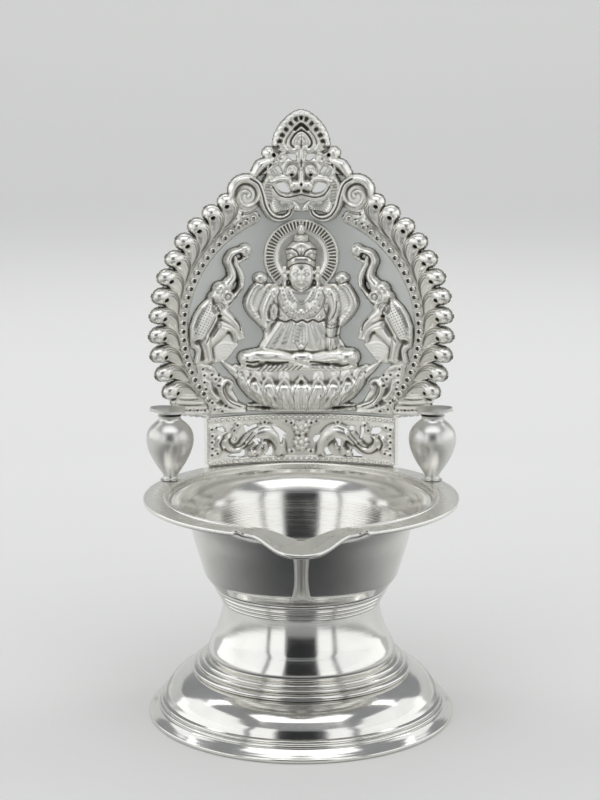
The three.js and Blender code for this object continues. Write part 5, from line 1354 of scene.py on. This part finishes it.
# Two rounded leaves step up from each volute to the finial.
for word, s in BOTH_SIDES:
    lobes = Relief(4.9, 10.8, 107.2, 114.4, 0.14, side=s)
    lobes.ridge([(5.2, 110.4), (6.6, 109.6), (8.4, 108.6), (9.8, 107.9)], 0.8, 1.5)
    lobes.ridge([(7.0, 110.7), (8.7, 109.9), (9.9, 108.3)], [1.0, 1.3, 1.0], [2.3, 2.5, 2.3])
    lobes.ridge([(8.4, 108.3), (7.6, 108.6), (6.6, 109.6)], [0.5, 0.6, 0.4], 1.9)
    lobes.line([(6.6, 110.0), (7.6, 109.2), (8.9, 108.0)], 0.34, -0.6)
    lobes.dome(6.9, 112.5, 1.5, 1.45, 2.6)
    lobes.eyelet(6.0, 112.1, 0.5, 0.5, 0.9)
    lobes.ridge([(5.2, 112.2), (5.8, 111.2), (7.0, 111.1)], 0.4, 1.9)
    struck("crest_leaves_" + word, "crest_lobes_" + word, lobes, round_edge=0.5)

# A row of pearls follows the arch on each side, each a struck ring with a sunk middle, on a
# narrow whitened band with a fine line along its inner edge.
PEARL_R = 25.3
PEARL_BEAD = [(0.74, -0.15), (0.72, 0.6), (0.62, 0.95), (0.46, 0.98), (0.37, 0.7), (0.32, 0.2), (0, 0.15)]
for word, s in BOTH_SIDES:
    arc = [(PEARL_R * math.cos(a), ARCH_Z + PEARL_R * math.sin(a))
        for a in np.radians(np.linspace(-37, 66, 90))]
    row = Relief(8.0, 27.2, 59.0, 103.5, 0.2, side=s)
    row.ridge(arc, 1.3, 0.3, bend=False)
    row.whitening_and_shade = np.maximum(row.whitening_and_shade, np.where(row.h > 0.1, 0.42, 0.0))
    row.ridge([(24.15 * math.cos(a), ARCH_Z + 24.15 * math.sin(a))
        for a in np.radians(np.linspace(-37, 68, 90))], 0.25, 0.7, bend=False)
    row.cushion([(8.2, 98.6), (11.5, 96.9), (14.2, 95.3), (15.8, 98.4), (14.9, 102.6), (12.0, 99.6),
        (9.4, 100.4)], 0.45, 0.3)
    for x, z in ((8.9, 99.3), (10.2, 98.9), (11.6, 98.5), (9.6, 100.3), (13.0, 97.7), (14.2, 97.1),
            (12.6, 99.6), (14.0, 98.8), (13.9, 100.4), (14.7, 101.7)):
        punch_ring(row, x, z, 0.42, 0.5)
    line = line_object("pearl_line", [(s * x, z) for x, z in arc])
    pearls = lay_on_plate(beads_tree, line, bead_mesh_of(PEARL_BEAD, 10), pitch=1.75)
    row_mesh = joined_mesh("pearl_row_" + word, [row.mesh("row", relief_silver), pearls])
    finished("pearl_row_relief_" + word, row_mesh, "pearl_row_" + word, crease=STRUCK_CREASE)

# Outside the pearls twelve curled petals overlap down each side. Each has a bright round bulb
# with a sunk eyelet, and a tail of fine ridges that sweeps in to the pearls.
for word, s in BOTH_SIDES:
    petal = Relief(-4.6, 2.6, -4.0, 3.0, 0.15, side=s)
    petal.ridge([(0.6, 0.7), (-0.9, 0.6), (-2.3, -0.5), (-3.5, -2.6)], [1.85, 1.95, 1.7, 0.9],
        [2.3, 2.1, 1.6, 0.9])
    petal.ridge([(0.6, 1.3), (-1.1, 1.3), (-2.7, 0.0), (-3.7, -2.0)], [1.3, 1.3, 1.1, 0.6],
        [2.45, 2.35, 1.9, 1.1])
    petal.dome(0.5, 0.75, 1.9, 1.95, 2.5)
    for off, start, r in ((0.35, 0.1, 0.22), (-0.2, -0.3, 0.22), (-0.75, -0.7, 0.22), (-1.6, -1.0, 0.18)):
        petal.line([(start, 1.9 + off), (-1.3, 1.75 + off), (-2.6, 0.6 + 0.9 * off),
            (-3.4, -0.9 + 0.7 * off), (-3.9, -2.4 + 0.5 * off)], r, -0.36 if r > 0.2 else -0.2)
    petal.line([(0.95, 1.9), (0.7, 0.6), (0.85, -0.7)], 0.16, -0.16)
    petal.eyelet(0.0, 0.0, 0.52, 0.55, 1.0)
    petal_mesh = petal.mesh("petal", relief_silver, bend=kept_flat, base=-0.3)
    spots = []
    for i, (x, z) in enumerate(PETAL_SPOTS):
        spots.append((s * x, z, -s * math.atan2(z - ARCH_Z, x), 1.0 - 0.008 * i))
    border_mesh = lay_on_plate(motifs_tree, spots_object("petal_spots", spots), petal_mesh)
    finished("petal_border_relief_" + word, border_mesh, "petal_border_" + word,
        crease=STRUCK_CREASE)

# In the lower corners a curled leaf fills the ground between the lotus and the pearls, which is
# punched with small rings.
for word, s in BOTH_SIDES:
    leaf = Relief(11.2, 23.4, 56.4, 69.4, 0.16, side=s)
    leaf.cushion([(11.6, 56.6), (19.9, 56.6), (20.4, 60), (21.9, 64.5), (22.6, 68.2), (20.8, 68.8),
        (18.4, 66.8), (15.6, 63.8), (13.8, 60.4)], 0.45, 0.3)
    leaf.ridge([(12.6, 58.2), (15.2, 59.0), (17.0, 60.9), (17.4, 63.0), (16.2, 64.3), (14.9, 63.4),
        (15.4, 62.2)], [0.8, 0.9, 0.85, 0.75, 0.6, 0.45, 0.35], [1.2, 1.5, 1.7, 1.7, 1.5, 1.3, 1.2])
    leaf.line([(13.4, 58.3), (15.6, 59.4), (17.0, 61.4), (17.1, 63.0)], 0.2, -0.5)
    leaf.ridge([(12.2, 57.1), (15.6, 57.5), (18.6, 58.9)], [0.5, 0.6, 0.4], 1.2)
    leaf.ridge([(18.2, 60.2), (19.4, 61.8), (20.0, 64.0)], [0.7, 0.6, 0.4], 1.3)
    leaf.ridge([(18.4, 66.2), (19.6, 67.4), (21.6, 67.8)], 0.5, 1.1)
    for x, z in ((18.8, 58.0), (19.3, 59.5), (18.0, 63.2), (19.3, 65.6), (18.5, 64.6), (20.9, 65.6),
            (21.2, 67.0), (17.2, 57.5), (20.6, 62.6), (20.9, 64.1), (17.8, 65.4), (16.4, 58.7)):
        punch_ring(leaf, x, z, 0.42, 0.5)
    struck("corner_leaf_" + word, "foliage_" + word, leaf)

# The ears are the plate's lower shoulders: short shelves of stacked ridges that rest on the leaf
# caps.
for word, s in BOTH_SIDES:
    shelf = Relief(19.2, 28.2, 56.6, 63.4, 0.16, side=s)
    shelf.cushion([(19.6, 56.9), (26.9, 57.9), (27.5, 58.6), (27.6, 61.0), (25.0, 62.4), (22.4, 61.6),
        (20.6, 60.4)], 0.6, 0.4)
    for x0, z0, x1, z1, r, top in ((20.2, 57.5, 27.0, 58.4, 0.5, 1.5), (20.8, 58.7, 27.2, 59.6, 0.55, 1.6),
            (21.4, 59.9, 27.2, 60.7, 0.55, 1.7), (22.8, 61.2, 26.4, 61.7, 0.5, 1.5)):
        shelf.ridge([(x0, z0), ((x0 + x1) / 2, (z0 + z1) / 2 - 0.15), (x1, z1)], r, top)
    for x in (21.0, 22.6, 24.2, 25.8):
        punch_ring(shelf, x, 58.1 + (x - 21) * 0.14, 0.36, 0.4)
    struck("ear_shelf_" + word, "ear_" + word, shelf)

# Each vase pillar is spun in two halves and soldered on the rim by its foot. Its leaf cap is cut
# from sheet and soldered under the plate's ear.
VASE_SIDE = smooth_line([(2.2, 45.5), (1.7, 45.8), (1.5, 46.3), (1.85, 47.0), (2.45, 47.9), (3.35, 49.3),
    (4.1, 50.8), (4.62, 52.2), (4.9, 53.5), (4.94, 54.5), (4.72, 55.6), (4.2, 56.6), (3.35, 57.5),
    (2.6, 58.1), (2.3, 58.6), (2.5, 59.2)], 4)
VASE_STEPS = 64
CAP_ROWS = 15
CAP_ACROSS = 9
CAP_THICK = 0.55
vase_silver = polished_silver("spun silver, satin", "#C6C5C1", 0.3, 0.03, 0.3)
for word, s in BOTH_SIDES:
    low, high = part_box("vase_pillar_" + word)
    axis = ((low.x + high.x) / 2, (low.y + high.y) / 2)
    vase_mesh = turned_mesh("vase", [(0, 45.5), *VASE_SIDE, (0, 59.2)], vase_silver, VASE_STEPS, axis)
    finished("vase_" + word, vase_mesh, "vase_pillar_" + word)
    points = []
    for thick in (0, CAP_THICK):
        for t in np.arange(CAP_ROWS) / (CAP_ROWS - 1):
            half = 3.7 * math.sin(math.pi * min(0.16 + 0.84 * t, 1)) ** 0.6 + 0.05
            for v in 2 * np.arange(CAP_ACROSS) / (CAP_ACROSS - 1) - 1:
                x, y = 24.4 + 7.2 * t, AXIS_Y + 15.6 - 1.6 * t + v * half
                z = 59.15 + 0.7 * t**2 + 0.35 * abs(v) ** 1.5 + thick
                points.append((s * x * MM, y * MM, z * MM))
    cap_mesh = plain_mesh("leaf_cap_silver_" + word, points, slab_faces(CAP_ROWS, CAP_ACROSS), vase_silver)
    finished("leaf_cap_silver_" + word, cap_mesh, "leaf_cap_" + word)

# The stage is pale paper that curls up far outside the lamp, with large soft lights at the sides, in
# front, above and behind. A dark card behind the camera and a card round the foot, grey in front of it
# and pale at its rim, are hidden from the camera, from diffuse light and from shadows, and show only in
# the silver: painted reflections, whose grey in front of the foot paints shade on the bowl and foot.
PAPER_STEPS = 96
PAPER_CURL = smooth_line([(0.9, 0.0), (1.1, 0.02), (1.26, 0.1), (1.36, 0.26), (1.4, 0.5)], 4)
CARD_STEPS = 48
CARD_IN, CARD_OUT, CARD_UP = 0.036, 0.24, 0.001
CAMERA_BACK, CAMERA_UP, CAMERA_ASIDE = 380, 140.1, -0.26
CAMERA_PITCH = 11.18


def plain_surface(name, code, roughness):
    """A matt material of one colour."""
    material, tree = blank_material(name)
    close_material(tree, {"Base Color": linear(code), "Roughness": roughness})
    return material


turns = [math.tau * k / PAPER_STEPS for k in range(PAPER_STEPS)]
paper_points = [(0, 0, 0)] + [(r * math.cos(a), r * math.sin(a), z) for r, z in PAPER_CURL for a in turns]
paper_faces = [(0, 1 + k, 1 + (k + 1) % PAPER_STEPS) for k in range(PAPER_STEPS)]
paper_faces += [(1 + a, 1 + d, 1 + c, 1 + b) for a, b, c, d in loop_faces(len(PAPER_CURL), PAPER_STEPS)]
floor_mesh = plain_mesh("floor", paper_points, paper_faces, plain_surface("pale paper", "#F4F4F2", 0.85))
floor_mesh.shade_smooth()
new_object("floor", floor_mesh)

card_black = plain_surface("black card", "#2B2C2E", 0.9)
card_grey, card_tree = blank_material("card, grey in the middle and pale outside")
card_place = add_node(card_tree, "ShaderNodeTexCoord").outputs["Object"]
from_front = {0: card_place, 1: (0, -0.075, 0)}
offset = add_node(card_tree, "ShaderNodeVectorMath", from_front, operation="SUBTRACT")
far = add_node(card_tree, "ShaderNodeVectorMath", {0: offset}, operation="LENGTH").outputs["Value"]
faded = {"Value": far, "From Min": 0.02, "From Max": 0.17}
share = add_node(card_tree, "ShaderNodeMapRange", faded, interpolation_type="SMOOTHSTEP")
tones = {"Factor": share, 6: linear("#4A4B4D"), 7: linear("#EFEFED")}
tone = add_node(card_tree, "ShaderNodeMix", tones, data_type="RGBA").outputs[2]
close_material(card_tree, {"Base Color": tone, "Roughness": 0.9})
turns = [math.tau * k / CARD_STEPS for k in range(CARD_STEPS)]
ring_points = [(r * math.cos(a), AXIS_Y * MM + r * math.sin(a), CARD_UP) for r in (CARD_IN, CARD_OUT)
    for a in turns]
ring_faces = [(a, d, c, b) for a, b, c, d in loop_faces(2, CARD_STEPS)]
upright = [(0.19, -0.56, 0.1), (-0.19, -0.56, 0.1), (-0.19, -0.5, 0.42), (0.19, -0.5, 0.42)]
for name, points, faces, card in (
    ("card_round_the_foot", ring_points, ring_faces, card_grey),
    ("card_behind_the_camera", upright, [(0, 1, 2, 3)], card_black),
):
    flag = new_object(name, plain_mesh(name, points, faces, card))
    # Seen only in reflections: painted dark reflections on the silver.
    flag.visible_camera = flag.visible_diffuse = flag.visible_shadow = False

world = bpy.data.worlds.new("studio")
bpy.context.scene.world = world
world.use_nodes = True
world.node_tree.nodes.clear()
glow = add_node(world.node_tree, "ShaderNodeBackground", {"Color": linear("#8C8E90"), "Strength": 1.1})
add_node(world.node_tree, "ShaderNodeOutputWorld", {"Surface": glow})

for name, place, turn, width, height, brightness in (
    ("left soft box", (-0.5, -0.05, 0.27), (90, 0, -90), 0.8, 0.46, 0.8),
    ("right soft box", (0.5, -0.03, 0.27), (90, 0, 90), 0.8, 0.46, 0.74),
    ("left front light", (-0.3, -0.47, 0.27), (90, 0, -32), 0.2, 0.46, 0.85),
    ("right front light", (0.3, -0.47, 0.27), (90, 0, 32), 0.2, 0.46, 0.8),
    ("top light", (0.0, -0.25, 0.72), (24, 0, 0), 0.8, 0.42, 1.3),
    ("background light", (0.0, 0.4, 0.75), (42, 0, 0), 1.4, 0.4, 2.2),
):
    lamp = bpy.data.lights.new(name, "AREA")
    lamp.shape = "RECTANGLE"
    lamp.size, lamp.size_y, lamp.energy = width, height, brightness * math.pi * width * height
    holder = new_object(name, lamp)
    holder.location = place
    holder.rotation_euler = [math.radians(a) for a in turn]
    holder.visible_camera = False

camera = bpy.data.cameras.new("camera")
camera.lens = 86.7
camera.clip_start, camera.clip_end = 0.01, 20
camera_holder = new_object("camera", camera)
camera_holder.location = (CAMERA_ASIDE * MM, (AXIS_Y - CAMERA_BACK) * MM, CAMERA_UP * MM)
camera_holder.rotation_euler = (math.radians(90 - CAMERA_PITCH), 0, 0)
bpy.context.scene.camera = camera_holder
bpy.context.scene.view_settings.view_transform = "Standard"
